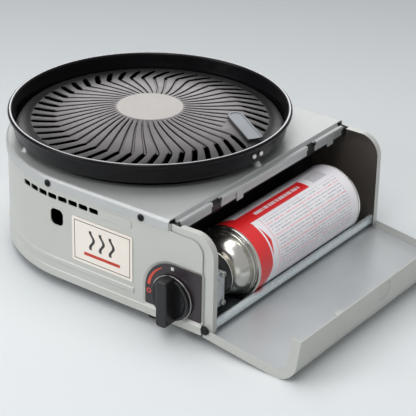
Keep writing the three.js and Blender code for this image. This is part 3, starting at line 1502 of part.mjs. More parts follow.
addPart(bodyGroup, 'regulator_body', regulatorBody(), dieCast);
addPart(bodyGroup, 'diaphragm_cover', diaphragmCover(), dieCast);
boltPlaces().forEach((place, i) => {
  addPart(bodyGroup, `regulator_bolt_${i + 1}`, regulatorBolt(place), steel);
});
addPart(bodyGroup, 'cartridge_holder', cartridgeHolder(), blackPlastic);
addPart(bodyGroup, 'igniter_block', igniterBlock(), blackPlastic);
addPart(bodyGroup, 'igniter_lead', igniterLead(), rubber);
addPart(bodyGroup, 'spark_electrode', electrode(), ceramic);
addPart(bodyGroup, 'electrode_tip', electrodeTip(), steel);
addPart(bodyGroup, 'electrode_arm', electrodeArm(), steel);
addPart(bodyGroup, 'gas_pipe', gasPipe(), brass);
addPart(bodyGroup, 'gas_nozzle', gasNozzle(), brass);
addPart(bodyGroup, 'mixing_tube', mixingTube(), galvanised);
addPart(bodyGroup, 'burner_bowl', burnerBowl(), steel);
addPart(bodyGroup, 'burner_cap', burnerCap(), blackSheet);
addPart(bodyGroup, 'burner_stand', burnerStand(), galvanised);

addPart(coverGroup, 'container_cover', containerCover(), paint);

addPart(knobGroup, 'knob', knob(), blackPlastic);
addPart(knobGroup, 'knob_ring', knobRingPart(), steel);
const spindle = frontToBack(rodProfile(spindleRadius, -knobDisc, spindleLength - knobDisc), pinSteps);
addPart(knobGroup, 'knob_spindle', spindle, steel);

const tubeProfile = ringProfile(
  canRadius - canSheet, canRadius, canFront + canSeamHeight + seat, canBack - canSeamHeight);
addPart(cartridgeGroup, 'cartridge_shell', frontToBack(tubeProfile, roundSteps), printedCan);
addPart(cartridgeGroup, 'cartridge_dome', cartridgeDome(), tinplate);
addPart(cartridgeGroup, 'cartridge_base', cartridgeBase(), tinplate);
addPart(cartridgeGroup, 'cartridge_flange', cartridgeFlange(), tinplate);
addPart(cartridgeGroup, 'valve_cup', valveCup(), tinplate);
addPart(cartridgeGroup, 'valve_stem', valveStem(), ceramic);

addPart(trayGroup, 'water_tray', waterTray(), enamel);
addPart(trayGroup, 'locating_bracket', locatingBracket(), steel);
addPart(plateGroup, 'grill_plate', grillPlate(), castCoating);
addPart(plateGroup, 'lifting_tab', liftingTab(), castCoating);

// The origin is at the centre of the base of the whole grill, with the cover open.
grill.updateMatrixWorld(true);
const extent = new THREE.Box3().setFromObject(grill, true);
const middle = extent.getCenter(new THREE.Vector3());
grill.position.set(-middle.x, -middle.y, -extent.min.z);
grill.updateMatrixWorld(true);

export default grill;
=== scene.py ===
"""Looks of a cassette gas grill.

A domed, slotted grill plate lies in a round black water tray on a grey sheet-metal body. The gas cartridge lies
beside the burner under a cover that tips down onto the table. Sizes are in millimetres from the burner's axis and
the table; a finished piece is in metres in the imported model's frame.
"""

from __future__ import annotations

import json
import logging
import math
import sys
from dataclasses import dataclass
from enum import Enum
from functools import cache, partialmethod
from typing import Iterable, Sequence, Union

import bmesh
import bpy
from mathutils import Matrix, Vector

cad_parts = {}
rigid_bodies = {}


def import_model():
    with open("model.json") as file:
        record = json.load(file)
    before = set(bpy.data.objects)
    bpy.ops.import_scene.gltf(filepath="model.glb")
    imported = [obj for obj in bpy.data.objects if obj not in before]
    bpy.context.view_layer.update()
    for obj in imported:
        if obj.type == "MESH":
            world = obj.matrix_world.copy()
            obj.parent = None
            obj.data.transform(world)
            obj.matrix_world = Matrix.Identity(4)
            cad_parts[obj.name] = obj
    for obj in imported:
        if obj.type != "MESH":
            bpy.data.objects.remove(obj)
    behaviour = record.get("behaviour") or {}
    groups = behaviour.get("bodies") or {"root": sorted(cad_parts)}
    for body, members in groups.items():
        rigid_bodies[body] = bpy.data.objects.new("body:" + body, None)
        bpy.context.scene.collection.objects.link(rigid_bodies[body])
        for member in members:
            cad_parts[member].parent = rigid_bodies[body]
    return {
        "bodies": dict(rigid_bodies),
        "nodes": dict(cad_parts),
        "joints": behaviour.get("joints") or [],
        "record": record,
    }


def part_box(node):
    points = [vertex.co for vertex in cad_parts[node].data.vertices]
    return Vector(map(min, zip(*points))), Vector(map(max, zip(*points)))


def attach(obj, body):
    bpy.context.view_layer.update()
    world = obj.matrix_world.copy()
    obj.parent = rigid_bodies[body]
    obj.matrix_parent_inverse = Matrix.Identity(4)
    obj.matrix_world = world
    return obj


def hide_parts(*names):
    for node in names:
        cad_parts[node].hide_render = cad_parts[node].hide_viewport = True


log = logging.getLogger("grill")

Point2 = tuple[float, float]
Point3 = tuple[float, float, float]
Line = list[Point2]
Colour = tuple[float, float, float]
Socket = bpy.types.NodeSocket
Source = Union["Value", Socket, float, tuple]

MM = 0.001
DEGREES = 180 / math.pi
FAR = 3.0  # how far a cutter runs past what it cuts
GAP = 0.3  # room between two parts


class Side(Enum):
    """The two long walls of the grill, by the sign of their Y."""

    FRONT = -1
    BACK = 1


class Cut(Enum):
    """What a boolean does with its second solid."""

    JOIN = "UNION"
    REMOVE = "DIFFERENCE"
    KEEP = "INTERSECT"


# Outlines


def arc(x: float, y: float, radius: float, start: float, end: float, steps: int) -> Line:
    """Points of a circular arc about x and y, between two angles in degrees."""
    turns = [math.radians(start + (end - start) * i / steps) for i in range(steps + 1)]
    return [(x + radius * math.cos(t), y + radius * math.sin(t)) for t in turns]


def rectangle(left: float, right: float, low: float, high: float, corner: float = 0.0, steps: int = 8) -> Line:
    """Outline of a rectangle, with round corners if asked.

    Args:
        left: Lowest first coordinate.
        right: Highest first coordinate.
        low: Lowest second coordinate.
        high: Highest second coordinate.
        corner: Corner radius.
        steps: Segments of each corner.

    Returns:
        The outline, counter-clockwise.
    """
    if corner <= 0:
        return [(left, low), (right, low), (right, high), (left, high)]
    left, right, low, high = left + corner, right - corner, low + corner, high - corner
    middles = ((right, low), (right, high), (left, high), (left, low))
    return [p for i, (x, y) in enumerate(middles) for p in arc(x, y, corner, 90 * i - 90, 90 * i, steps)]


def circle(x: float, y: float, radius: float, steps: int = 48) -> Line:
    """Outline of a full circle, counter-clockwise."""
    return arc(x, y, radius, 0, 360, steps)[:-1]


def round_ended(radius: float, end: float, steps: int = 96) -> Line:
    """Plan of the body: a half circle at the left and straight sides to the right end."""
    return [(end, -radius), (end, radius)] + arc(0, 0, radius, 90, 270, steps)


def filleted(points: Line, radii: float | Sequence[float], closed: bool = False, steps: int = 5) -> Line:
    """Rounds the corners of a line.

    Args:
        points: Corners of the line.
        radii: One radius, or one for each corner.
        closed: Whether the last point joins the first.
        steps: Segments of each round corner.

    Returns:
        The rounded line.
    """
    count = len(points)
    sizes = [radii] * count if isinstance(radii, (int, float)) else list(radii)
    line: Line = []
    for i, (x, y) in enumerate(points):
        here = Vector((x, y))
        back = Vector(points[i - 1]) - here
        ahead = Vector(points[(i + 1) % count]) - here
        is_end = not closed and i in (0, count - 1)
        if sizes[i] <= 0 or is_end or min(back.length, ahead.length) < 1e-6:
            line.append((x, y))
            continue
        half = back.angle(ahead, math.pi) / 2
        if half > math.radians(88):
            line.append((x, y))
            continue
        reach = min(sizes[i] / math.tan(half), 0.49 * back.length, 0.49 * ahead.length)
        start, end = here + back.normalized() * reach, here + ahead.normalized() * reach
        weight = math.sin(half)
        for k in range(steps + 1):
            t = k / steps
            bottom = (1 - t) ** 2 + 2 * weight * t * (1 - t) + t * t
            spot = (start * (1 - t) ** 2 + here * (2 * weight * t * (1 - t)) + end * t * t) / bottom
            line.append((spot.x, spot.y))
    return line


def shifted(points: Line, first: float, second: float) -> Line:
    """A line moved by its two coordinates."""
    return [(a + first, b + second) for a, b in points]


def eased(share: float) -> float:
    """A share held within 0 and 1, with a soft start and end."""
    share = min(max(share, 0.0), 1.0)
    return share * share * (3 - 2 * share)


def sheet_line(points: Line, thickness: float) -> Line:
    """Outline of a sheet that follows a line.

    Args:
        points: The line.
        thickness: Thickness of the sheet, to the left of the line's direction.

    Returns:
        The closed outline.
    """
    line = [Vector(p) for p in points]
    ways = [(b - a).normalized() for a, b in zip(line, line[1:])]
    normals = [Vector((-along.y, along.x)) for along in ways]
    shifted = []
    for i, p in enumerate(line):
        mitre = normals[max(i - 1, 0)] + normals[min(i, len(normals) - 1)]
        shifted.append(p + mitre * (2 * thickness / mitre.length_squared))
    return [(p.x, p.y) for p in line + shifted[::-1]]


# Solids


def linked(name: str, data: bpy.types.ID) -> bpy.types.Object:
    """A new object of the scene.

    Args:
        name: Its name.
        data: Its mesh, camera or lamp.

    Returns:
        The object.
    """
    thing = bpy.data.objects.new(name, data)
    bpy.context.scene.collection.objects.link(thing)
    return thing


@dataclass
class Solid:
    """A closed mesh in millimetres, measured from the burner's axis and the table."""

    mesh: bpy.types.Mesh

    def changed(self, matrix: Matrix) -> Solid:
        """A copy moved by a matrix, with its faces kept outwards.

        Args:
            matrix: The move.

        Returns:
            The moved copy.
        """
        mesh = self.mesh.copy()
        mesh.transform(matrix)
        if matrix.determinant() < 0:
            mesh.flip_normals()
        return Solid(mesh)

    def moved(self, x: float = 0.0, y: float = 0.0, z: float = 0.0) -> Solid:
        """A copy shifted by millimetres."""
        return self.changed(Matrix.Translation((x, y, z)))

    def turned(self, degrees: float, axis: str = "Z") -> Solid:
        """A copy turned about an axis through the burner's axis at the table."""
        return self.changed(Matrix.Rotation(math.radians(degrees), 4, axis))

    def on(self, side: Side) -> Solid:
        """The solid for one side, where it is drawn for the back."""
        return self if side is Side.BACK else self.changed(Matrix.Scale(-1, 4, Vector((0, 1, 0))))

    def modified(self, kind: str, **settings: object) -> Solid:
        """Applies one of Blender's modifiers.

        Args:
            kind: Blender's name of its type.
            **settings: Its settings.

        Returns:
            The new solid.
        """
        thing = linked("operand", self.mesh)
        modifier = thing.modifiers.new("step", kind)
        for key, value in settings.items():
            setattr(modifier, key, value)
        mesh = bpy.data.meshes.new_from_object(thing.evaluated_get(bpy.context.evaluated_depsgraph_get()))
        bpy.data.objects.remove(thing)
        return Solid(mesh)

    def combined(self, other: Solid, cut: Cut) -> Solid:
        """Joins, removes or keeps another solid.

        Args:
            other: The second solid.
            cut: What is done with it.

        Returns:
            The new solid.
        """
        tool = linked("operand", other.mesh)
        made = self.modified("BOOLEAN", operation=cut.value, solver="MANIFOLD", object=tool)
        bpy.data.objects.remove(tool)
        return made

    __add__ = partialmethod(combined, cut=Cut.JOIN)
    __sub__ = partialmethod(combined, cut=Cut.REMOVE)
    __and__ = partialmethod(combined, cut=Cut.KEEP)

    def bevelled(self, width: float, segments: int = 3, angle: float = 40) -> Solid:
        """A copy with round edges, where they are sharper than an angle in degrees."""
        return self.modified(
            "BEVEL", width=width, segments=segments, limit_method="ANGLE", angle_limit=math.radians(angle))


def stitched(places: Iterable[Sequence[float]], faces: Iterable[Sequence[int]]) -> Solid:
    """Makes a solid, joins its equal points and turns its faces outwards.

    Args:
        places: Its points.
        faces: The points of each face.

    Returns:
        The solid.
    """
    mesh = bpy.data.meshes.new("solid")
    mesh.from_pydata([tuple(p) for p in places], [], [tuple(f) for f in faces])
    work = bmesh.new()
    work.from_mesh(mesh)
    bmesh.ops.remove_doubles(work, verts=work.verts, dist=1e-4)
    bmesh.ops.recalc_face_normals(work, faces=work.faces)
    work.to_mesh(mesh)
    work.free()
    return Solid(mesh)


def together(solids: Iterable[Solid]) -> Solid:
    """Puts solids that don't touch into one mesh.

    Args:
        solids: The separate solids.

    Returns:
        One solid of several bodies.
    """
    work = bmesh.new()
    for part in solids:
        work.from_mesh(part.mesh)
    mesh = bpy.data.meshes.new("solids")
    work.to_mesh(mesh)
    work.free()
    return Solid(mesh)


def lofted(rings: Sequence[Sequence[Sequence[float]]]) -> Solid:
    """Joins rings of points, with a flat face at each end.

    Args:
        rings: The rings, which all have the same number of points.

    Returns:
        The closed solid.
    """
    count = len(rings[0])
    places = [p for loop in rings for p in loop]
    faces: list[Sequence[int]] = [range(count), range(len(places) - count, len(places))]
    for i in range(0, len(places) - count, count):
        faces += [(i + k, i + (k + 1) % count, i + count + (k + 1) % count, i + count + k) for k in range(count)]
    return stitched(places, faces)


def prism(outline: Line, low: float, high: float, axes: tuple[Point3, Point3, Point3]) -> Solid:
    """Extrudes an outline from low to high along the third axis."""
    first, second, third = (Vector(a) for a in axes)
    return lofted([[first * u + second * v + third * w for u, v in outline] for w in (low, high)])


def plan(outline: Line, low: float, high: float) -> Solid:
    """Extrudes a plan upwards."""
    return prism(outline, low, high, ((1, 0, 0), (0, 1, 0), (0, 0, 1)))


def elevation(outline: Line, front: float, back: float) -> Solid:
    """Extrudes an elevation from front to back."""
    return prism(outline, front, back, ((1, 0, 0), (0, 0, 1), (0, 1, 0)))


def section(outline: Line, left: float, right: float) -> Solid:
    """Extrudes a cross-section, drawn in Y and Z, to the right."""
    return prism(outline, left, right, ((0, 1, 0), (0, 0, 1), (1, 0, 0)))


def on_both_walls(outline: Line, inner: float, outer: float) -> Solid:
    """The same elevation on the front wall and on the back wall."""
    return together([elevation(outline, -outer, -inner), elevation(outline, inner, outer)])


def turned(profile: Line, steps: int, across: Point3, along: Point3) -> Solid:
    """Revolves a profile of radius and place.

    Args:
        profile: Points from axis to axis, or a closed ring of points.
        steps: Segments of the turn.
        across: Direction of the radius at the start.
        along: Direction of the axis.

    Returns:
        The closed solid.
    """
    first, axis = Vector(across), Vector(along)
    second = axis.cross(first)
    places: list[Vector] = []
    rings: list[list[int]] = []
    for r, h in profile:
        start = len(places)
        if r < 1e-6:
            places.append(axis * h)
            rings.append([start] * steps)
            continue
        for t in (2 * math.pi * k / steps for k in range(steps)):
            places.append(axis * h + (first * math.cos(t) + second * math.sin(t)) * r)
        rings.append(list(range(start, start + steps)))
    faces = []
    for low, high in zip(rings, rings[1:]):
        for k in range(steps):
            n = (k + 1) % steps
            unique = list(dict.fromkeys((low[k], low[n], high[n], high[k])))
            if len(unique) > 2:
                faces.append(unique)
    return stitched(places, faces)


def upright(profile: Line, steps: int = 64) -> Solid:
    """Revolves a profile about an upright axis."""
    return turned(profile, steps, (1, 0, 0), (0, 0, 1))


def front_to_back(profile: Line, steps: int = 64) -> Solid:
    """Revolves a profile about an axis from front to back."""
    return turned(profile, steps, (1, 0, 0), (0, 1, 0))


def sideways(profile: Line, steps: int = 64) -> Solid:
    """Revolves a profile about an axis to the right."""
    return turned(profile, steps, (0, 1, 0), (1, 0, 0))


def ring(inner: float, outer: float, low: float, high: float, edge: float = 0.0) -> Line:
    """Profile of a ring, with round edges if asked."""
    line = filleted([(inner, low), (outer, low), (outer, high), (inner, high)], edge, closed=True, steps=3)
    return line + [line[0]]


def rod(radius: float, low: float, high: float, edge: float = 0.0) -> Line:
    """Profile of a rod, with round edges if asked."""
    return filleted([(0, low), (radius, low), (radius, high), (0, high)], edge, steps=4)


def wire(points: Sequence[Point3], radius: float, sides: int = 16, steps: int = 10) -> Solid:
    """A round wire or pipe on a smooth line.

    Args:
        points: Places that the line passes.
        radius: Radius of the wire.
        sides: Segments round it.
        steps: Segments between two places.

    Returns:
        The closed solid.
    """
    knots = [Vector(p) for p in points]
    ends = [2 * knots[0] - knots[1]] + knots + [2 * knots[-1] - knots[-2]]
    line: list[Vector] = []
    for a, b, c, d in zip(ends, ends[1:], ends[2:], ends[3:]):
        for t in (k / steps for k in range(steps)):
            bent = (2 * a - 5 * b + 4 * c - d) * t * t + (3 * b - a - 3 * c + d) * t ** 3
            line.append(0.5 * (2 * b + (c - a) * t + bent))
    line.append(knots[-1])
    across = (line[1] - line[0]).orthogonal().normalized()
    turns = [2 * math.pi * k / sides for k in range(sides)]
    rings = []
    for i, spot in enumerate(line):
        tangent = (line[min(i + 1, len(line) - 1)] - line[max(i - 1, 0)]).normalized()
        across = (across - tangent * across.dot(tangent)).normalized()
        other = tangent.cross(across)
        rings.append([spot + (across * math.cos(t) + other * math.sin(t)) * radius for t in turns])
    return lofted(rings)


# Finishes


class Value:
    """A number in a node tree, which plain arithmetic works on."""

    def __init__(self, graph: Graph, socket: Socket) -> None:
        """Wraps an output socket."""
        self.graph = graph
        self.socket = socket

    def math(self, operation: str, other: Source = 0.0) -> Value:
        """The result of one of Blender's operations on this number and another one."""
        node = self.graph.node("Math", {0: self, 1: other}, operation=operation)
        return Value(self.graph, node.outputs["Value"])

    __add__ = partialmethod(math, "ADD")
    __sub__ = partialmethod(math, "SUBTRACT")
    __mul__ = partialmethod(math, "MULTIPLY")
    __truediv__ = partialmethod(math, "DIVIDE")
    __pow__ = partialmethod(math, "POWER")
    __abs__ = partialmethod(math, "ABSOLUTE")
    __or__ = partialmethod(math, "MAXIMUM")

    def __invert__(self) -> Value:
        """One less the number, which turns a mask round."""
        return self * -1.0 + 1.0

    def between(self, low: float, high: float, start: float = 0.0, end: float = 1.0) -> Value:
        """Maps low and high to start and end.

        Args:
            low: Number that gives start.
            high: Number that gives end.
            start: Result at low.
            end: Result at high.

        Returns:
            The mapped number, held within start and end.
        """
        inputs = {"Value": self, "From Min": low, "From Max": high, "To Min": start, "To Max": end}
        return Value(self.graph, self.graph.node("MapRange", inputs, clamp=True).outputs["Result"])

    def inside(self, low: float, high: float, edge: float) -> Value:
        """A mask of 1 between low and high, with edges of the given softness."""
        return self.between(low - edge, low + edge) * self.between(high - edge, high + edge, 1.0, 0.0)

    def band(self, middle: float, half: float, edge: float = 0.12) -> Value:
        """A mask of 1 within half of the middle."""
        return abs(self - middle).between(half - edge, half + edge, 1.0, 0.0)


class Graph:
    """Node tree of one material, with short calls for the nodes that the finishes use."""

    def __init__(self, name: str) -> None:
        """Makes the material with its shader and its coordinates.

        Args:
            name: Name of the material.
        """
        self.material = bpy.data.materials.new(name)
        self.material.use_nodes = True
        self.tree = self.material.node_tree
        self.shader = self.tree.nodes["Principled BSDF"]
        self.place = self.node("TexCoord").outputs["Object"]

    def node(self, kind: str, inputs: dict[str | int, Source] | None = None, **values: object) -> bpy.types.Node:
        """Adds a node.

        Args:
            kind: Blender's name of the node type, without its prefix.
            inputs: What its inputs get.
            **values: Attributes that are set on it.

        Returns:
            The new node.
        """
        made = self.tree.nodes.new("ShaderNode" + kind)
        for key, value in values.items():
            setattr(made, key, value)
        for key, source in (inputs or {}).items():
            self.link(source, made.inputs[key])
        return made

    def link(self, source: Source, target: Socket) -> None:
        """Links a socket, or sets a constant.

        Args:
            source: A number or socket of this tree, or a constant.
            target: The input.
        """
        source = source.socket if isinstance(source, Value) else source
        if isinstance(source, Socket):
            self.tree.links.new(source, target)
        else:
            target.default_value = (*source, 1) if target.type == "RGBA" else source

    def set(self, name: str, source: Source) -> None:
        """Links or sets one of the shader's inputs."""
        self.link(source, self.shader.inputs[name])

    def now(self, name: str) -> Socket:
        """The socket that one of the shader's inputs is linked to."""
        return self.shader.inputs[name].links[0].from_socket

    def noise(self, scale: float, detail: float = 3.0, rough: float = 0.5, where: Source | None = None) -> Value:
        """Noise between 0 and 1, by its scale per metre."""
        inputs = {"Scale": scale, "Detail": detail, "Roughness": rough, "Vector": where or self.place}
        return Value(self, self.node("TexNoise", inputs).outputs["Fac"])

    def stretched(self, scale: Point3) -> Socket:
        """Coordinates stretched along each axis, for grain that runs one way."""
        return self.node("Mapping", {"Scale": scale, "Vector": self.place}).outputs["Vector"]

    def cells(self, scale: float) -> Value:
        """Random number of cells, such as the spangle of zinc."""
        colour = self.node("TexVoronoi", {"Scale": scale, "Vector": self.place}).outputs["Color"]
        return Value(self, self.node("SeparateColor", {"Color": colour}).outputs["Red"])

    def blend(self, factor: Value, first: Source, second: Source) -> Socket:
        """Mixes two colours, of which the first is seen where the factor is 0."""
        return self.node("Mix", {"Factor": factor, 6: first, 7: second}, data_type="RGBA").outputs[2]

    def tint(self, factor: Value, colour: Source) -> None:
        """Lays another colour over the base colour where the factor is 1."""
        self.set("Base Color", self.blend(factor, self.now("Base Color"), colour))

    def bump(self, height: Value, depth: float, strength: float) -> None:
        """Adds relief to the surface.

        Args:
            height: Height between 0 and 1.
            depth: Real depth of the relief in metres.
            strength: Strength of the effect.
        """
        made = self.node("Bump", {"Distance": depth, "Strength": strength, "Height": height})
        if self.shader.inputs["Normal"].is_linked:
            self.link(self.now("Normal"), made.inputs["Normal"])
        self.set("Normal", made.outputs["Normal"])

    def parts(self, vector: Socket) -> tuple[Value, Value, Value]:
        """The three numbers of a vector."""
        split = self.node("SeparateXYZ", {"Vector": vector})
        return tuple(Value(self, split.outputs[axis]) for axis in "XYZ")

    def steep(self, low: float, high: float) -> Value:
        """A mask of the faces whose normals point up by less than low. Above high they count as level."""
        return abs(self.parts(self.node("NewGeometry").outputs["True Normal"])[2]).between(low, high, 1.0, 0.0)


def shade(red: int, green: int, blue: int) -> Colour:
    """Turns a colour seen on a screen, 0 to 255 each, into the linear colour that a shader takes."""
    values = (v / 255 for v in (red, green, blue))
    return tuple(v / 12.92 if v <= 0.04045 else ((v + 0.055) / 1.055) ** 2.4 for v in values)


@dataclass(frozen=True)
class Finish:
    """A surface with a main colour, a second colour that it drifts to, and its gloss."""

    name: str
    slot: str
    colour: Colour
    drift: Colour
    metal: float
    rough: float
    rough_drift: float
    patch: float = 14.0

    @cache
    def material(self) -> bpy.types.Material:
        """The material, made once, with its slow change of colour and gloss and its own detail.

        Returns:
            The finished material.
        """
        graph = Graph(self.name)
        graph.set("Metallic", self.metal)
        spread = graph.noise(self.patch, 4.0, 0.55).between(0.35, 0.65)
        graph.set("Base Color", graph.blend(spread, self.colour, self.drift))
        low, high = self.rough - self.rough_drift / 2, self.rough + self.rough_drift / 2
        graph.set("Roughness", graph.noise(self.patch * 9, 3.0, 0.6).between(0.3, 0.7, low, high))
        self.detail(graph)
        return graph.material

    def detail(self, graph: Graph) -> None:
        """Adds the fine grain of this kind of surface."""
        graph.bump(graph.noise(900, 2.0), 0.00002, 0.5)


@dataclass(frozen=True)
class MetallicPaint(Finish):
    """Sprayed paint with fine metal flakes, a slight orange-peel surface and a thin clear coat."""

    flake: float = 0.5
    coat: float = 0.12

    def detail(self, graph: Graph) -> None:
        """Adds orange peel, flakes and the clear coat.

        Args:
            graph: The graph with colour and gloss.
        """
        graph.set("Coat Weight", self.coat)
        graph.set("Coat Roughness", 0.25)
        graph.bump(graph.noise(420, 2.0, 0.4), 0.00004, 0.35)
        graph.bump(graph.cells(5200), 0.00001, self.flake)


@dataclass(frozen=True)
class Zinc(Finish):
    """Galvanised sheet with its crystal spangle and rolling marks."""

    spangle: float = 260.0
    contrast: float = 0.55

    def detail(self, graph: Graph) -> None:
        """Adds spangle in tone and gloss, and fine rolling lines.

        Args:
            graph: The graph with colour and gloss.
        """
        crystal = graph.cells(self.spangle)
        graph.tint(crystal.between(0.0, 1.0, 0.0, self.contrast), tuple(v * 0.72 for v in self.colour))
        graph.set("Roughness", crystal.between(0.0, 1.0, self.rough - 0.08, self.rough + 0.1))
        graph.bump(graph.noise(160, 2.0, 0.5, graph.stretched((14, 0.4, 14))), 0.00002, 0.4)


@dataclass(frozen=True)
class Moulded(Finish):
    """Moulded plastic or rubber with a fine eroded texture."""

    grain: float = 1500.0
    depth: float = 0.00004

    def detail(self, graph: Graph) -> None:
        """Adds the grain of the mould."""
        graph.bump(graph.noise(self.grain, 3.0, 0.6), self.depth, 0.6)


@dataclass(frozen=True)
class DrawnMetal(Finish):
    """Bright metal with fine lines that run along one direction."""

    stretch: Point3 = (1.0, 30.0, 1.0)
    lines: float = 90.0
    relief: float = 0.35

    def detail(self, graph: Graph) -> None:
        """Adds drawing lines in gloss and relief.

        Args:
            graph: The graph with colour and gloss.
        """
        streak = graph.noise(self.lines, 4.0, 0.6, graph.stretched(self.stretch))
        low, high = max(self.rough - self.rough_drift, 0.05), self.rough + self.rough_drift
        graph.set("Roughness", streak.between(0.3, 0.7, low, high))
        graph.bump(streak, 0.00001, self.relief)


@dataclass(frozen=True)
class CastMetal(Finish):
    """Die-cast metal with a skin that is mottled and slightly pitted."""

    pits: float = 700.0

    def detail(self, graph: Graph) -> None:
        """Adds flow marks and pits."""
        graph.bump(graph.noise(60, 4.0, 0.5), 0.0002, 0.25)
        graph.bump(graph.noise(self.pits, 3.0, 0.6), 0.00006, 0.5)


@dataclass(frozen=True)
class TrayEnamel(Finish):
    """Thick black enamel, glossy, with a slight wave where it ran and a painted highlight along the rim's crest."""

    top: float = 133.4
    # Colour of the painted highlight along the rim's crest.
    crest_highlight: Colour = (0.4, 0.4, 0.42)

    def detail(self, graph: Graph) -> None:
        """Adds the painted highlight on the crest, the glassy coat, its wave and faint dust.

        Args:
            graph: The graph with colour and gloss.
        """
        # Painted highlight: a thin pale, partly metallic line along the rim's crest stands in for a reflected
        # highlight.
        crest = graph.parts(graph.place)[2].between((self.top - 0.2) * MM, (self.top - 0.06) * MM)
        graph.tint(crest, self.crest_highlight)
        graph.set("Metallic", crest * 0.9)
        for name, number in (("Coat Weight", 0.06), ("Coat Roughness", 0.12), ("Specular IOR Level", 0.15)):
            graph.set(name, number)
        graph.bump(graph.noise(55, 2.0, 0.4), 0.00012, 0.3)
        graph.bump(graph.noise(2200, 2.0), 0.00001, 0.3)


@dataclass(frozen=True, kw_only=True)
class PlateCoating(Finish):
    """Non-stick coating of the grill plate, with the bare disc at its centre, and painted shade on its outer rings and
    steep walls.
    """

    centre: Point2
    disc: float = 30.2
    disc_colour: Colour
    # Near-black colour of the painted shade.
    painted_shade_colour: Colour = (0.004, 0.004, 0.004)
    fleck: Colour

    def detail(self, graph: Graph) -> None:
        """Adds the bare disc, the speckle of the coating, painted shade on the outer rings and on the steep slot and
        groove walls, and the cast grain.

        Args:
            graph: The graph with colour and gloss.
        """
        x, y, z = graph.parts(graph.place)
        radius = ((x - self.centre[0] * MM) ** 2.0 + (y - self.centre[1] * MM) ** 2.0) ** 0.5
        bare = radius.between((self.disc - 0.6) * MM, (self.disc + 0.2) * MM, 1.0, 0.0) * z.between(0.13, 0.1306)
        graph.tint(graph.noise(1700, 2.0, 0.7).between(0.62, 0.72, 0.0, 0.35), self.fleck)
        # Painted shade and sheen: the rings near the disc keep the lighter base colour, and the outer rings and margin
        # darken, as the dome's reflection fades outwards.
        graph.tint(radius.between(0.066, 0.1, 0.0, 0.8), self.painted_shade_colour)
        mottle = graph.noise(700, 4.0).between(0.35, 0.65)
        graph.tint(bare, graph.blend(mottle, self.disc_colour, tuple(v * 0.93 for v in self.disc_colour)))
        # Painted shade: steep faces, the walls of the grooves and slots, are painted near black where shade falls in
        # them.
        graph.tint(graph.steep(0.25, 0.8), self.painted_shade_colour)
        graph.set("Metallic", bare.between(0.0, 1.0, self.metal, 0.1))
        graph.set("Roughness", bare * 0.12 + graph.now("Roughness"))
        graph.bump(graph.noise(1100, 3.0, 0.6), 0.00005, 0.5)


@dataclass(frozen=True, kw_only=True)
class PrintedCan(Finish):
    """Printed tinplate: a red collar and stripe, and pale panels with fine dashed rules."""

    axis: Point2
    front: float
    red: Colour
    ink: Colour

    def detail(self, graph: Graph) -> None:
        """Lays the print round the can, by the turn in degrees and the place along it in millimetres.

        Args:
            graph: The graph with colour and gloss.
        """
        x, y, z = graph.parts(graph.place)
        turn = (z - self.axis[1] * MM).math("ARCTAN2", x - self.axis[0] * MM) * DEGREES
        along = (y - self.front * MM) * 1000.0

        collar = ~(along + abs(turn - 38.0) * 0.16).inside(27.0, 900.0, 0.15)
        stripe = turn.inside(76.0, 100.0, 0.3) * along.inside(0.0, 112.0, 0.2)
        pale_line = along.inside(21.0, 23.0, 0.1) * turn.inside(-40.0, 70.0, 0.3)
        red = (collar + stripe).math("MINIMUM", 1.0) * ~pale_line

        panel = along.inside(34.0, 146.0, 0.2) * turn.inside(-62.0, 70.0, 0.3) * ~red
        rules = (turn / 5.2).math("FRACT").inside(0.3, 0.62, 0.05)
        words = self.dashes(graph, along, (turn / 5.2).math("FLOOR") * 7.3)
        fourth = (turn / 20.8).math("FRACT").between(0.74, 0.76)
        graph.tint(rules * words * panel * 0.6, graph.blend(fourth, self.ink, self.red))
        frame = (along.inside(31.4, 31.9, 0.1) | along.inside(88.0, 88.4, 0.1)) * turn.inside(-64.0, 74.0, 0.3)
        graph.tint(frame * 0.8, self.red)
        bars = (along / 1.9).math("FRACT").between(0.45, 0.55)
        graph.tint(bars * turn.inside(78.0, 98.0, 0.4) * along.inside(120.0, 142.0, 0.2) * 0.75, self.ink)
        graph.tint(red, self.red)
        title = turn.inside(84.0, 91.0, 0.5) * along.inside(36.0, 104.0, 0.3)
        graph.tint(title * self.dashes(graph, along * 0.5, 7.0) * 0.75, self.colour)
        graph.set("Coat Weight", 0.5)
        graph.set("Coat Roughness", 0.15)
        graph.bump(graph.noise(35, 2.0), 0.0001, 0.15)

    @staticmethod
    def dashes(graph: Graph, along: Value, row: Source) -> Value:
        """Breaks a rule into dashes of uneven length, which differ from row to row."""
        where = graph.node("CombineXYZ", {"X": along * 0.9, "Y": row}).outputs["Vector"]
        return graph.noise(1.0, 1.0, 0.5, where).between(0.43, 0.47)


@dataclass(frozen=True, kw_only=True)
class SteamLabel(Finish):
    """Cream foil with a thin frame and three plain steam strokes over a bar."""

    centre: Point2
    half_width: float
    half_height: float
    ink: Colour = (0.03, 0.025, 0.025)
    red: Colour = (0.55, 0.04, 0.02)

    def detail(self, graph: Graph) -> None:
        """Draws the frame, the strokes and the bar, in millimetres from the label's middle.

        Args:
            graph: The graph with colour and gloss.
        """
        x, _, z = graph.parts(graph.place)
        u, v = (x - self.centre[0] * MM) * 1000.0, (z - self.centre[1] * MM) * 1000.0
        swayed = u - (v * 0.42).math("SINE") * 1.9
        strokes = (swayed.band(-11.0, 1.5) | swayed.band(0.0, 1.5) | swayed.band(11.0, 1.5)) * v.band(3.2, 9.0)
        outer, inner = (
            u.band(0.0, self.half_width - inset) * v.band(0.0, self.half_height - inset) for inset in (2.6, 3.3))
        graph.tint(strokes | (outer - inner), self.ink)
        graph.tint(v.band(-11.2, 1.5) * u.band(0.0, 20.0), self.red)
        graph.bump(graph.noise(1600, 3.0), 0.00002, 0.4)


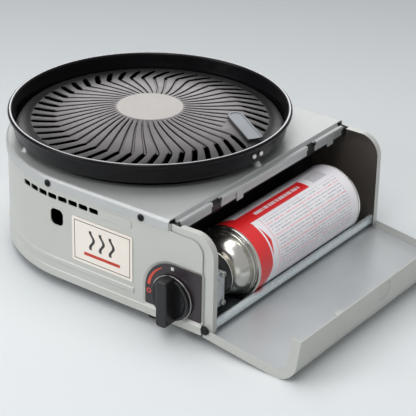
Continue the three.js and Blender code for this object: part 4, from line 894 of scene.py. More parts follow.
@dataclass(frozen=True, kw_only=True)
class DialFace(Finish):
    """Dark face of the control, with a red scale, a ring at its end and a pale mark for off."""

    knob: Point2
    radius: float = 26.4
    red: Colour
    white: Colour

    def detail(self, graph: Graph) -> None:
        """Draws the scale round the knob, in millimetres from the knob's axis.

        Args:
            graph: The graph with colour and gloss.
        """
        x, _, z = graph.parts(graph.place)
        u, v = (x - self.knob[0] * MM) * 1000.0, (z - self.knob[1] * MM) * 1000.0
        turn = v.math("ARCTAN2", u * -1.0) * DEGREES
        off = abs((u * u + v * v) ** 0.5 - self.radius)
        line = (off - turn.between(8.0, 62.0, 1.5, 0.45)).between(-0.12, 0.12, 1.0, 0.0)
        line = line * turn.between(7.0, 8.5) * turn.between(61.0, 62.5, 1.0, 0.0)
        ring_u, ring_v = u + (self.radius - 0.4), v + 2.6
        hoop = abs((ring_u * ring_u + ring_v * ring_v) ** 0.5 - 1.9).between(0.35, 0.6, 1.0, 0.0)
        graph.tint(line | hoop, self.red)
        dot = abs(u + 1.2) | abs(v - (self.radius - 0.2))
        graph.tint(dot.between(1.3, 1.6, 1.0, 0.0), self.white)
        graph.bump(graph.noise(1300, 3.0), 0.00003, 0.4)


@dataclass(frozen=True, kw_only=True)
class StudioFloor(Finish):
    """Matt pale floor with painted shade that makes it darker behind the grill, where the light falls off."""

    # Colour of the painted shade at the far back of the floor.
    far: Colour
    heading: float = 38.75
    start: float = -0.1
    end: float = 0.75

    def detail(self, graph: Graph) -> None:
        """Paints shade that darkens the floor towards the back, standing in for the light falling off.

        Args:
            graph: The graph with colour and gloss.
        """
        x, y, _ = graph.parts(graph.place)
        turn = math.radians(self.heading)
        behind = y * math.cos(turn) - x * math.sin(turn)
        # Painted shade: the floor's colour blends to the darker far colour with distance behind the grill.
        graph.tint(behind.between(self.start, self.end) ** 1.5, self.far)
        graph.set("Specular IOR Level", 0.15)


class Finishes:
    """Every finish of the grill."""

    def __init__(self, bench: Workbench) -> None:
        """Sets the finishes. Those with a print follow their piece to its place on the bench.

        Args:
            bench: Gives the place of each piece.
        """
        self.paint = MetallicPaint(
            "silver_paint", "body_paint", shade(197, 198, 193), shade(193, 194, 188), 0.22, 0.42, 0.06)
        self.top_paint = MetallicPaint(
            "silver_paint_top", "body_paint", shade(194, 196, 196), shade(189, 191, 191), 0.45, 0.46, 0.06)
        self.inner_paint = MetallicPaint(
            "brown_inner_paint", "body_paint", shade(90, 84, 79), shade(78, 72, 68), 0.1, 0.5, 0.1)
        self.cover_inside = MetallicPaint(
            "cover_lining", "body_paint", shade(204, 208, 210), shade(196, 200, 202), 0.6, 0.42, 0.08)
        self.zinc = Zinc("galvanised_sheet", "galvanised", shade(122, 134, 137), shade(112, 123, 127), 0.75, 0.4, 0.1)
        self.zinc_tube = DrawnMetal(
            "zinc_tube", "galvanised", shade(222, 232, 236), shade(212, 222, 226), 0.4, 0.26, 0.05,
            stretch=(30.0, 1.0, 30.0))
        self.black_sheet = Moulded("heat_black", "black_sheet", shade(34, 32, 32), shade(27, 26, 26), 0.2, 0.48, 0.1)
        self.plastic = Moulded("black_plastic", "black_plastic", shade(18, 18, 19), shade(14, 14, 15), 0.0, 0.36, 0.08)
        self.knob = Moulded(
            "knob_black", "black_plastic", shade(20, 20, 22), shade(16, 16, 18), 0.0, 0.3, 0.04, depth=0.000001)
        self.fastener = Moulded("black_zinc", "black_fastener", shade(36, 36, 37), shade(28, 28, 29), 0.6, 0.35, 0.1)
        self.rubber = Moulded("foot_rubber", "rubber", shade(33, 33, 33), shade(27, 27, 27), 0.0, 0.78, 0.08)
        self.lead = Moulded("lead_silicone", "rubber", shade(44, 42, 42), shade(36, 35, 35), 0.0, 0.5, 0.08)
        self.steel = DrawnMetal("plated_steel", "steel", shade(200, 200, 198), shade(188, 188, 186), 0.95, 0.28, 0.1)
        self.rivet = DrawnMetal("rivet_steel", "steel", shade(232, 232, 230), shade(222, 222, 220), 0.9, 0.3, 0.06)
        self.cast = CastMetal("die_cast", "die_cast", shade(216, 219, 222), shade(202, 205, 208), 0.85, 0.38, 0.12)
        self.tin = DrawnMetal(
            "tinplate", "tinplate", shade(236, 234, 228), shade(224, 222, 215), 1.0, 0.25, 0.03,
            stretch=(1.0, 1.0, 1.0), lines=30.0, relief=0.04)
        self.brass = DrawnMetal("drawn_brass", "brass", shade(196, 160, 84), shade(180, 142, 70), 0.95, 0.3, 0.08)
        self.glaze = Moulded("white_glaze", "ceramic", shade(232, 229, 221), shade(222, 219, 210), 0.0, 0.25, 0.08)
        self.enamel = TrayEnamel("tray_enamel", "tray_enamel", shade(15, 14, 17), shade(12, 11, 13), 0.0, 0.24, 0.05)
        # The coating's light base colour near the disc is partly painted sheen; the painted shade darkens it outwards.
        self.coating = PlateCoating(
            "plate_coating", "plate_coating", shade(124, 119, 120), shade(108, 104, 106), 0.65, 0.37, 0.08,
            centre=(bench.origin.x, bench.origin.y), disc_colour=shade(176, 171, 167), fleck=shade(150, 150, 152))
        self.tab = CastMetal("bare_tab", "plate_coating", shade(140, 144, 149), shade(130, 134, 139), 0.7, 0.4, 0.08)
        can_x, front, can_z = bench.spot(Cartridge.x, Cartridge.front, Cartridge.z)
        self.can = PrintedCan(
            "printed_can", "printed_can", shade(251, 249, 253), shade(246, 243, 249), 0.0, 0.3, 0.05,
            axis=(can_x, can_z), front=front, red=shade(238, 38, 42), ink=shade(120, 118, 128))
        half_width, half_height = NamePlate.width / 2, NamePlate.height / 2
        label_x, _, label_z = bench.spot(NamePlate.left + half_width, 0, NamePlate.low + half_height)
        self.label = SteamLabel(
            "cream_label", "label_cream", shade(242, 234, 225), shade(237, 228, 218), 0.0, 0.55, 0.08,
            centre=(label_x, label_z), half_width=half_width, half_height=half_height)
        knob_x, _, knob_z = bench.spot(Control.x, 0, Control.z)
        self.dial = DialFace(
            "dial_face", "face_plastic", shade(52, 45, 49), shade(46, 40, 44), 0.0, 0.33, 0.06,
            knob=(knob_x, knob_z), red=shade(214, 70, 52), white=shade(222, 222, 222))
        # Floor, whose far colour is painted shade at the back.
        self.floor = StudioFloor(
            "studio_floor", "floor", shade(220, 224, 226), shade(218, 222, 224), 0.0, 0.85, 0.05,
            patch=1.5, far=shade(184, 188, 190))


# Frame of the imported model


class Workbench:
    """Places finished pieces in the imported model's frame."""

    def __init__(self) -> None:
        """Takes the burner's axis from the water tray."""
        low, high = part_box("water_tray")
        self.origin = (low + high) * 0.5 / MM
        self.origin.z = 0.0
        self.count = 0
        self.finishes = Finishes(self)

    def spot(self, x: float, y: float, z: float) -> Point3:
        """A place measured from the burner's axis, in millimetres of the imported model's frame."""
        return x + self.origin.x, y + self.origin.y, z

    def piece(
        self, name: str, node: str, solid: Solid, finish: Finish, body: str = "body", crease: float = 32.0
    ) -> bpy.types.Object:
        """Turns a solid into a finished piece.

        Args:
            name: Name of the piece.
            node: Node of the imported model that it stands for.
            solid: Its shape.
            finish: Its surface.
            body: Body that it moves with.
            crease: Edges sharper than this many degrees stay sharp.

        Returns:
            The object.
        """
        mesh = solid.mesh
        mesh.name = name
        mesh.transform(Matrix.Scale(MM, 4) @ Matrix.Translation((self.origin.x, self.origin.y, 0)))
        mesh.materials.clear()
        mesh.materials.append(finish.material())
        mesh.polygons.foreach_set("use_smooth", [True] * len(mesh.polygons))
        mesh.set_sharp_from_angle(angle=math.radians(crease))
        thing = linked(name, mesh)
        normals = thing.modifiers.new("normals", "WEIGHTED_NORMAL")
        normals.keep_sharp = True
        normals.weight = 100
        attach(thing, body)
        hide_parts(node)
        self.count += 1
        log.info("%s: %d faces on %s", name, len(mesh.polygons), body)
        return thing


@dataclass
class Assembly:
    """A sub-assembly, which makes its pieces on the bench."""

    bench: Workbench

    @property
    def finishes(self) -> Finishes:
        """The finishes of the grill."""
        return self.bench.finishes


# Body


@dataclass
class Body(Assembly):
    """Sheet wall, round at the left end, with its two end walls at the right."""

    control: Control
    radius: float = 131.0
    end: float = 168.2
    outer: float = 129.8
    sheet: float = 1.0
    bottom: float = 11.2
    end_top: float = 103.4
    corner: float = 19.4
    rise_top: float = 104.0
    rise_start: float = 124.4
    rise_end: float = 133.0
    hem: float = 7.0
    hem_step: float = 0.7
    bead_low: float = 25.0
    bead_height: float = 6.3
    bead_step: float = 0.8
    bead_end: float = 86.0
    rib: tuple[float, float, float, float] = (49.5, 84.0, 85.8, 93.4)
    rib_step: float = 0.6
    rib_corner: float = 2.6
    margin_side: float = 10.4
    margin_top: float = 6.5
    margin_corner: float = 12.0
    margin_depth: float = 1.4
    return_depth: float = 6.0
    vent_count: int = 8
    vent_length: float = 10.2
    vent_height: float = 5.0
    vent_corner: float = 1.7
    vent_pitch: float = 11.7
    vent_end: float = 47.0
    vent_z: float = 89.6
    window: tuple[float, float, float, float, float] = (-7.3, 7.3, 62.8, 78.4, 5.0)
    recess: float = 1.2
    slope: float = 2.2
    hinge: Point2 = (162.0, 17.5)
    hinge_hole: float = 2.3
    screw_x: float = 94.6
    screw_turn: float = 93.8
    screw_z: float = 101.2
    screw_hole: float = 1.6

    @property
    def inner(self) -> float:
        """Distance of the wall's inner face."""
        return self.outer - self.sheet

    @property
    def through(self) -> Point2:
        """Start and end of a cut through the front wall, along Y."""
        return -self.radius - FAR, -self.inner + FAR

    def side_outline(self, side: float, top: float, corner: float, spread: float = 0.0) -> Line:
        """Elevation of the wall up to its right and top edges.

        Args:
            side: Margin kept free at the right.
            top: Margin kept free at the top.
            corner: Corner radius.
            spread: How far the outline runs past the wall elsewhere.

        Returns:
            The outline.
        """
        left, right = -self.radius - FAR, self.end - side
        low, high = self.bottom - spread, self.end_top - top
        line = [(left, low)]
        if spread:
            line.append((right, low))
        else:
            turn = self.end - self.hinge[0]
            line += arc(self.hinge[0], low + turn, turn, -90, 0, 12)
        line += arc(right - corner, high - corner, corner, 0, 90, 20)
        line += [(self.rise_end, high), (self.rise_start, self.rise_top - top)]
        if spread:
            line.append((self.rise_start, self.rise_top + spread))
        return line + [(left, self.rise_top + spread)]

    def swept(self, profile: Line, end: float) -> Solid:
        """Carries a profile of radius and height round the body's plan, whose right end is given."""
        return lofted([[(x, y, z) for x, y in round_ended(r, end)] for r, z in profile])

    def vents(self) -> Solid:
        """Cutters of the vents of both long walls, and of the flame window.

        Returns:
            The cutters as one solid.
        """
        half, tall = self.vent_length / 2, self.vent_height / 2
        shape = rectangle(-half, half, self.vent_z - tall, self.vent_z + tall, self.vent_corner, 5)
        cutters = [elevation(rectangle(*self.window), *self.through)]
        for i in range(self.vent_count):
            place = self.vent_end - half - i * self.vent_pitch
            slot = elevation(shape, *self.through)
            slot = slot.moved(x=place) if place >= 0 else slot.turned(math.degrees(place / self.outer))
            cutters += [slot.on(side) for side in Side]
        return together(cutters)

    def screw_spots(self) -> dict[str, Matrix]:
        """Matrices that carry a screw, drawn at the front of the burner's axis, to each of its places.

        Returns:
            The matrices by the name of the place.
        """
        flip = Matrix.Scale(-1, 4, Vector((0, 1, 0)))
        lift = Matrix.Translation((0, 0, self.screw_z))
        left = Matrix.Rotation(-math.radians(self.screw_turn - 90), 4, "Z") @ lift
        right = Matrix.Translation((self.screw_x, 0, 0)) @ lift
        return {"front_left": left, "front_right": right, "back_left": flip @ left, "back_right": flip @ right}

    def screw_holes(self) -> Solid:
        """Holes of the skirt screws."""
        hole = front_to_back(rod(self.screw_hole, *self.through), 24)
        return together([hole.changed(matrix) for matrix in self.screw_spots().values()])

    def dish(self, start: float) -> Solid:
        """The recess of the control's face, from its floor outwards, with a sloping edge.

        Args:
            start: Y of the floor.

        Returns:
            The solid.
        """
        wide = GAP + self.slope
        steps = [(GAP, start), (wide, start - self.recess), (wide, start - self.recess - 4)]
        return lofted([[(x, y, z) for x, z in self.control.outline(grow)] for grow, y in steps])

    def pressed(self) -> Solid:
        """The wall with its hem, bead and ribs, before the margins are sunk.

        Returns:
            The wall as one solid.
        """
        outer, hem_top, step = self.outer, self.bottom + self.hem, self.hem_step
        profile = [
            (outer + step, self.bottom), (outer + step, hem_top - 0.4), (outer + step * 0.7, hem_top + 0.1),
            (outer + step * 0.3, hem_top + 0.5), (outer, hem_top + 0.9), (outer, self.rise_top)]
        low, high, root = self.bead_low, self.bead_low + self.bead_height, outer - self.sheet / 2
        ramp = [(0.0, 0.0), (0.12, 0.35), (0.5, 0.8), (0.85, 1.25), (1.0, 1.8)]
        bead = [(root, low)] + [(outer + self.bead_step * s, low + z) for s, z in ramp]
        bead += [(outer + self.bead_step * s, high - z) for s, z in reversed(ramp)] + [(root, high)]
        left_part = elevation(rectangle(-self.radius - 5, self.bead_end, 0, 110), -140, 140)
        rib = rectangle(*self.rib, self.rib_corner)
        face = outer + self.rib_step
        ribs = [elevation(rib, *ends).bevelled(0.5, 3, 60) for ends in ((-face, -root), (root, face))]
        wall = self.swept(profile, self.end) + (self.swept(bead, self.end) & left_part) + together(ribs)
        wall = wall - self.swept([(self.inner, 0), (self.inner, 115)], self.end + 4)
        return wall & elevation(self.side_outline(0, 0, self.corner), -145, 145)

    def with_margins(self, wall: Solid) -> Solid:
        """Sinks the margins that the cover's flanges lie on, and folds their edge inwards.

        Args:
            wall: The pressed wall.

        Returns:
            The wall with its margins.
        """
        outer, face = self.outer, self.outer - self.margin_depth
        back = face - self.sheet
        full = self.side_outline(0, 0, self.corner)
        kept = self.side_outline(self.margin_side + 1, self.margin_top + 1, self.margin_corner, 4)
        wall = wall + (on_both_walls(full, back, self.inner + 0.01) - on_both_walls(kept, back - 2, self.inner + 2))
        flat = self.side_outline(self.margin_side, self.margin_top, self.margin_corner, 4)
        beyond = self.side_outline(-2, -2, self.corner + 2, 4)
        wall = wall - (on_both_walls(beyond, face, outer + FAR) - on_both_walls(flat, face - 2, outer + 5))
        line = self.side_outline(self.margin_side - 0.8, self.margin_top - 0.8, self.margin_corner + 0.8, 4)
        wall = wall - (on_both_walls(line, face - 0.5, face + 2) - on_both_walls(flat, face - 1, face + FAR))
        foot = rectangle(self.end - self.margin_side, self.end + FAR, 0, self.end_top - self.corner)
        wall = wall - on_both_walls(foot, face, outer + FAR)
        less = self.side_outline(1.0, 1.0, self.corner - 1, 4)
        left_part = rectangle(-self.radius - 5, self.rise_end, 0, 115)
        fold = face - self.return_depth
        flange = on_both_walls(full, fold, back + 0.5) - on_both_walls(less, fold - 2, outer)
        return wall + (flange - on_both_walls(left_part, fold - 2, outer))

    def shell(self) -> Solid:
        """The whole wall, with the recess of the control and every hole.

        Returns:
            The wall as one solid.
        """
        floor = self.outer - self.recess
        within = elevation(rectangle(0, self.end, 0, 110), -self.outer, -floor + self.sheet)
        wall = self.with_margins(self.pressed()) + (self.dish(-floor + self.sheet) & within) - self.dish(-floor)
        spindle = elevation(circle(Control.x, Control.z, Control.hole), -self.outer - FAR, -self.inner + FAR)
        deep = self.inner - self.margin_depth - FAR
        pins = on_both_walls(circle(*self.hinge, self.hinge_hole, 32), deep, self.outer + FAR)
        return wall - spindle - pins - self.vents() - self.screw_holes()

    def paint_inside(self, wall: bpy.types.Object) -> None:
        """Gives the faces of the finished wall that look inwards their dark coat.

        Args:
            wall: The finished wall.
        """
        mesh = wall.data
        mesh.materials.append(self.finishes.inner_paint.material())
        axis = self.bench.origin * MM
        for face in mesh.polygons:
            out = Vector((min(face.center.x - axis.x, 0.0), face.center.y - axis.y, 0.0))
            inner = out.length > 0.1 and face.normal.dot(out.normalized()) < -0.35
            folded = face.center.x > axis.x + self.rise_end * MM and min(face.normal.x, face.normal.z) < -0.5
            if inner or folded:
                face.material_index = 1

    def build(self) -> None:
        """Makes the wall and its screws."""
        wall = self.bench.piece("side_wall", "body_shell", self.shell(), self.finishes.paint, crease=25)
        self.paint_inside(wall)
        face = -self.radius - GAP
        profile = [(0, -1.5), (1.6, -1.45), (2.6, -1.1), (3.2, -0.5), (3.3, 0), (1.3, 0), (1.3, 5), (0, 5)]
        first, second = (
            elevation(rectangle(-x, x, -z, z), face - 2, face - 0.8) for x, z in ((1.7, 0.35), (0.35, 1.7)))
        screw = front_to_back(shifted(profile, 0, face), 40) - (first + second)
        for spot, matrix in self.screw_spots().items():
            self.bench.piece(f"screw_{spot}", f"skirt_screw_{spot}", screw.changed(matrix), self.finishes.fastener)


@dataclass
class TopPlate(Assembly):
    """Pressed top of the body, with the well for the tray, three supports and the rail over the cartridge."""

    body: Body
    height: float = 107.2
    sheet: float = 0.9
    end: float = 123.3
    edge: float = 3.0
    skirt: float = 9.5
    well: float = 111.0
    well_edge: float = 1.8
    collar: float = 5.2
    ledge_drop: float = 2.0
    ledge_width: float = 6.4
    rail_half: float = 122.0
    rail_depth: float = 9.4
    bump_radius: float = 118.2
    bump_turn: float = 0.4
    bump_top: float = 112.8
    clip_y: float = 71.5
    clip_length: float = 12.0
    clip_room: float = 0.9
    corner_top: float = 103.0
    hanger_places: tuple[float, float] = (-39.0, 102.0)
    hanger_length: float = 9.0
    hanger_depth: float = 2.6

    @property
    def ledge(self) -> float:
        """Height of the rail's ledge."""
        return self.height - self.ledge_drop

    def rail(self) -> Solid:
        """The folded rail, with its hangers and the notches of the clips.

        Returns:
            The rail as one solid.
        """
        top, ledge, end, right = self.height, self.ledge, self.end, self.end + self.ledge_width
        line = filleted([
            (right - 1.1, ledge - self.rail_depth), (right - 1.1, ledge - 4.6), (right, ledge - 3.5), (right, ledge),
            (end + 3.7, ledge), (end + 3.0, ledge - 1.7), (end + 1.1, ledge - 1.7), (end, top), (end - 1.6, top),
        ], [0, 0.6, 0.6, 1.2, 0.6, 0.5, 0.4, 0.6, 0])
        rail = elevation(sheet_line(line, self.sheet), -self.rail_half, self.rail_half)
        hanger = rectangle(right - self.sheet, right, ledge - self.rail_depth - self.hanger_depth, ledge - 2)
        for y in self.hanger_places:
            rail = rail + elevation(hanger, y - self.hanger_length / 2, y + self.hanger_length / 2)
        notch = rectangle(end + 1.1, right + FAR, ledge - self.rail_depth - FAR, top + FAR)
        half = self.clip_length / 2 + self.clip_room
        return rail - on_both_walls(notch, self.clip_y - half, self.clip_y + half)

    def pressed(self) -> Solid:
        """The pressed sheet.

        Returns:
            The sheet as one solid.
        """
        r, top, edge, well, lip = self.body.radius, self.height, self.edge, self.well, self.well_edge
        outside = [(r, top - self.skirt)] + arc(r - edge, top - edge, edge, 0, 90, 8)
        inside = [(r - self.sheet, top - self.skirt - FAR)] + arc(r - edge, top - edge, edge - self.sheet, 0, 90, 8)
        plate = self.body.swept(outside, self.end) - self.body.swept(inside, self.end + 4) + self.rail()
        collar = ring(well, well + self.sheet, top - self.collar, top - self.sheet + 0.4)
        plate = plate - upright(rod(well, 90, top + FAR), 192) + upright(collar, 192)

        hole = [(well + 4, top + FAR), (well + 4, top), (well, top), (well, top - self.collar)]
        hole = [(0, top + FAR)] + filleted(hole, [0, 0, lip, 0]) + [(well, 90), (0, 90)]
        kept = [(well + 6, top - 6), (well + 6, top)] + arc(well + lip, top - lip, lip, 90, 180, 8)
        kept += [(well, top - 6), (well + 6, top - 6)]
        band = ring(well - 1, well + 2.2, top - lip, top + FAR)
        plate = plate - (upright(hole, 192) & (upright(band, 192) - upright(kept, 192)))
        return self.with_bumps(plate) - self.body.screw_holes()

    def with_bumps(self, plate: Solid) -> Solid:
        """Presses the three supports of the tray into the sheet.

        Args:
            plate: The flat sheet.

        Returns:
            The sheet with its supports.
        """
        top, tip = self.height, self.bump_top
        cone = filleted([(6.2, top), (4.2, top + 0.2), (1.6, tip), (0, tip)], [0, 2.0, 1.4, 0], steps=6)
        outer = [(0, top - 0.5), (6.2, top - 0.5)] + cone
        drop = [(0, top - 4), (3.6, top - 4), (3.6, top - 0.8), (0.9, tip - 0.9), (0, tip - 0.9)]
        for turn in (self.bump_turn, self.bump_turn + 120, self.bump_turn + 240):
            plate = plate + upright(outer, 48).moved(x=self.bump_radius).turned(turn)
            plate = plate - upright(drop, 32).moved(x=self.bump_radius).turned(turn)
        return plate

    def clip(self) -> Solid:
        """One catch clip, at the middle of the rail.

        Returns:
            The solid.
        """
        line = [(0, 0), (6, 0), (6, 4.8), (4.2, 6.6), (1.8, 6.6), (1.8, 4.8), (0, 3)]
        line = shifted(line, self.end - 1.4, self.ledge - self.rail_depth)
        return elevation(line, -self.clip_length / 2, self.clip_length / 2).bevelled(0.4)

    def corner_piece(self) -> Solid:
        """The moulded piece that closes the rail's back corner.

        Returns:
            The solid.
        """
        line = [(0, -4.2), (3.2, -8.4), (6.4, -8.4), (6.4, -0.8), (5.6, 0), (0, 0)]
        line = shifted(line, self.end + 0.8, self.corner_top)
        return elevation(line, self.rail_half + GAP, self.rail_half + 4.9).bevelled(0.35)

    def build(self) -> None:
        """Makes the top with its clips and corner pieces."""
        piece, finishes = self.bench.piece, self.finishes
        piece("pressed_top", "top_plate", self.pressed(), finishes.top_paint, crease=25)
        for side in Side:
            end = side.name.lower()
            clip = self.clip().moved(y=side.value * self.clip_y)
            piece(f"catch_{end}", f"catch_clip_{end}", clip, finishes.plastic)
            piece(f"rail_corner_{end}", f"corner_piece_{end}", self.corner_piece().on(side), finishes.plastic)


@dataclass
class Underside(Assembly):
    """Floor pan with the cartridge trough, and the four feet."""

    body: Body
    inner: float = 128.5
    bottom: float = 11.8
    sheet: float = 0.9
    end: float = 156.4
    hem: float = 2.4
    trough: tuple[float, float, float, float] = (113.0, 153.5, -66.0, 112.0)
    trough_depth: float = 5.4
    trough_corner: float = 3.3
    saddle_top: float = 7.8
    saddle_length: float = 9.0
    feet: tuple[tuple[str, float, float], ...] = (
        ("right_front", 97, -112), ("right_back", 97, 112), ("left_front", -72, -84), ("left_back", -72, 84))

    def pan(self) -> Solid:
        """The floor pan.

        Returns:
            The pan as one solid.
        """
        top, sheet, end, hem = self.bottom + self.sheet, self.sheet, self.end, self.hem
        pan = self.body.swept([(self.inner, self.bottom), (self.inner, top)], end)
        rim = filleted(rectangle(end - sheet, end, self.bottom, top + hem), 0.2, True, 2)
        pan = pan + elevation(rim, -self.inner + hem, self.inner - hem)
        left, right, front, back = self.trough
        low, corner = self.bottom - self.trough_depth, self.trough_corner
        pan = pan + plan(rectangle(left, right, front, back, corner), low, top)
        room = rectangle(left + sheet, right - sheet, front + sheet, back - sheet, corner - sheet)
        pan = pan - plan(room, low + sheet, top + FAR)
        bar = rectangle(left + 2.4, right - 2.4, low + 0.4, self.saddle_top)
        for y in (Cartridge.front, Cartridge.front + Cartridge.length - self.saddle_length):
            pan = pan + elevation(bar, y, y + self.saddle_length)
        return pan

    def build(self) -> None:
        """Makes the pan and the feet."""
        self.bench.piece("floor_sheet", "floor_pan", self.pan(), self.finishes.zinc)
        profile = filleted([(0, 0), (6.8, 0), (8, 1.2), (6.8, 11.5), (0, 11.5)], [0, 0.8, 1.0, 0.4, 0])
        for place, x, y in self.feet:
            foot = upright(profile, 48).moved(x, y)
            self.bench.piece(f"foot_{place}_rubber", f"foot_{place}", foot, self.finishes.rubber)


@dataclass
class Partition(Assembly):
    """Black sheet between burner and cartridge, which leans out over the cartridge."""

    x: float = 95.0
    sheet: float = 0.9
    bottom: float = 13.0
    half: float = 126.4
    holes: tuple[Point2, Point2] = ((-110.2, 50.5), (-110.2, 30.0))
    hole: float = 5.5

    def build(self) -> None:
        """Makes the partition, with holes for the lead and the pipe."""
        line = [(self.x - 12, self.bottom), (self.x, self.bottom), (self.x, 74), (121.6, 88), (121.6, 106)]
        line = filleted(line, [0, 1.5, 3, 3, 0])
        sheet = elevation(sheet_line(line, self.sheet), -self.half, self.half)
        for y, z in self.holes:
            sheet = sheet - section(circle(y, z, self.hole, 32), self.x - FAR, self.x + FAR)
        self.bench.piece("heat_shield", "partition", sheet, self.finishes.black_sheet)


# Cover over the cartridge


@dataclass
class Cover(Assembly):
    """Cartridge cover with its hinge tube, washers and pins."""

    x: float = 162.0
    z: float = 17.5
    top: float = 107.2
    half: float = 129.8
    sheet: float = 1.0
    reach: float = 7.8
    corner: float = 20.0
    lip: float = 44.7
    skirt: float = 1.5
    flange: float = 8.5
    ear: float = 3.8
    pin_hole: float = 2.06
    open_degrees: float = 98.0
    clip_y: float = 71.5
    hook: float = 4.5
    grip: float = 11.0
    tube_half: float = 126.1

    def line(self, inset: float) -> Line:
        """The closed cover seen from the front, from the hinge: its outer face moved in.

        Args:
            inset: How far it is moved in.

        Returns:
            The line, from its lower edge to the lip.
        """
        high, corner = self.top - self.z - inset, self.corner - inset
        bend = arc(self.reach - self.corner, high - corner, corner, 0, 90, 20)
        return [(self.reach - inset, -self.skirt)] + bend + [(self.reach - self.lip, high)]

    def profile(self, thickness: float) -> Line:
        """Closed outline between the outer face and a line inside it."""
        return self.line(0) + self.line(thickness)[::-1]

    def closed(self) -> Solid:
        """The cover as it is when closed, with the hinge at the burner's axis and the table.

        Returns:
            The solid.
        """
        sheet, half, edge, high = self.sheet, self.half, self.reach - self.lip, self.top - self.z
        cover = elevation(self.profile(sheet), -half, half)
        strap = rectangle(0, self.reach, -self.skirt, self.ear)
        ear = elevation(circle(0, 0, self.ear), 0, sheet) + elevation(strap, 0, sheet)
        hole = elevation(circle(0, 0, self.pin_hole), -1, sheet + 1)
        end = (elevation(self.profile(self.flange), 0, sheet) + ear) - hole
        cover = cover + end.moved(y=-half) + end.moved(y=half - sheet)
        hook = rectangle(edge, edge + sheet, high - sheet - 2.8, high - sheet + 0.5)
        for y in (-self.clip_y, self.clip_y):
            cover = cover + elevation(hook, y - self.hook, y + self.hook)
        bulge = [(0, -1.8), (8.8, -1.8), (9.9, -0.9), (9.9, -0.5), (0, -0.5)]
        bowl = [(0, -1.2), (8.6, -1.2), (9.8, -0.1), (10, FAR), (0, FAR)]
        bowl = filleted(shifted(bowl, 0, high), [0, 0.8, 0.3, 0, 0])
        middle = edge + self.grip
        return cover + upright(shifted(bulge, 0, high), 72).moved(x=middle) - upright(bowl, 72).moved(x=middle)

    def line_inside(self, cover: bpy.types.Object) -> None:
        """Gives the inner face of the finished cover its darker coat. The cut edge of the lip stays pale.

        Args:
            cover: The finished cover.
        """
        mesh = cover.data
        mesh.materials.append(self.finishes.cover_inside.material())
        closed = Matrix.Rotation(-math.radians(self.open_degrees), 3, "Y")
        hinge = Vector(self.bench.spot(self.x, 0, self.z)) * MM
        edge = (self.reach - self.lip + 0.1) * MM
        for face in mesh.polygons:
            normal, spot = closed @ face.normal, closed @ (face.center - hinge)
            if min(normal.x, normal.z) < -0.6 and abs(normal.y) < 0.3 and spot.x > edge:
                face.material_index = 1

    def build(self) -> None:
        """Makes the open cover and its hinge."""
        piece, finishes = self.bench.piece, self.finishes
        opened = self.closed().turned(self.open_degrees, "Y").moved(self.x, 0, self.z)
        self.line_inside(piece("tip_down_cover", "container_cover", opened, finishes.paint, "cover", 25))
        tube = front_to_back(ring(2.4, 3.7, -self.tube_half, self.tube_half, 0.3), 48).moved(self.x, 0, self.z)
        piece("hinge_rod", "hinge_tube", tube, finishes.zinc_tube)
        profile = [(0, 2.4), (2.9, 2.4), (4.1, 1.2), (4.1, 0), (2, 0), (2, -9), (0, -9)]
        profile = filleted(shifted(profile, 0, self.half + GAP), [0, 0.8, 0.8, 0.1, 0, 0.3, 0])
        pin, start = front_to_back(profile, 48), self.tube_half + GAP
        washer = front_to_back(ring(2.4, 5, start, start + 0.7, 0.15), 48)
        for side in Side:
            end = side.name.lower()
            piece(f"pin_{end}", f"hinge_pin_{end}", pin.on(side).moved(self.x, 0, self.z), finishes.fastener)
            piece(f"washer_{end}", f"hinge_washer_{end}", washer.on(side).moved(self.x, 0, self.z), finishes.steel)


# Control and name plate


@dataclass
class Control(Assembly):
    """Face, knob, bright ring and spindle of the gas control."""

    x: float = 128.2
    z: float = 37.0
    radius: float = 19.5
    disc: float = 5.0
    bar_length: float = 43.0
    bar_width: float = 11.0
    bar_height: float = 11.4
    start: float = -130.8
    face: float = -128.9
    face_sheet: float = 0.9
    reach: float = 30.0
    right: float = 156.8
    bottom: float = 21.7
    corner: float = 1.6
    hole: float = 3.6

    def outline(self, grow: float) -> Line:
        """Outline of the face, concentric with the knob at its upper left, and grown by a distance.

        Args:
            grow: The distance.

        Returns:
            The outline, counter-clockwise.
        """
        left, right = self.x - self.reach - grow, self.right + grow
        low, high, corner = self.bottom - grow, self.z + self.reach + grow, self.corner + grow
        return (
            arc(left + corner, low + corner, corner, 180, 270, 8)
            + arc(right - corner, low + corner, corner, -90, 0, 8)
            + arc(right - corner, high - corner, corner, 0, 90, 8)
            + arc(self.x, self.z, self.reach + grow, 90, 180, 32))

    def knob(self) -> Solid:
        """The knob, a disc with a tall grip bar, about its axis and with its back at Y 0.

        Returns:
            The solid.
        """
        r, d = self.radius, self.disc
        profile = [(0, 0), (r, 0), (r, -d + 0.2), (r - 2.4, -d), (r - 4.0, -d + 0.5), (0, -d + 0.5)]
        disc = front_to_back(filleted(profile, [0, 0.3, 0.8, 0.8, 0.8, 0]), 96)
        half, width = self.bar_length / 2, self.bar_width / 2
        bar = elevation(rectangle(-width, width, -half, half, 3.2), -d - self.bar_height, -2.2).bevelled(1.5, 5, 50)
        return (disc + bar) - front_to_back(rod(3.3, -5.3, FAR), 32)

    def build(self) -> None:
        """Makes the pieces of the control."""
        piece, finishes = self.bench.piece, self.finishes
        face = elevation(self.outline(0), self.face - self.face_sheet, self.face).bevelled(0.25, 2, 50)
        face = face - elevation(circle(self.x, self.z, self.hole), self.face - FAR, self.face + FAR)
        piece("dial_plate", "faceplate", face, finishes.dial)
        hoop = front_to_back(ring(19.8, 20.7, -1.9, -0.3, 0.3), 96)
        spindle = front_to_back(rod(3, -5, 9.6, 0.3), 32)
        for name, node, solid, finish in (
                ("grip_knob", "knob", self.knob(), finishes.knob), ("knob_hoop", "knob_ring", hoop, finishes.steel),
                ("spindle", "knob_spindle", spindle, finishes.steel)):
            piece(name, node, solid.moved(self.x, self.start, self.z), finish, "knob")


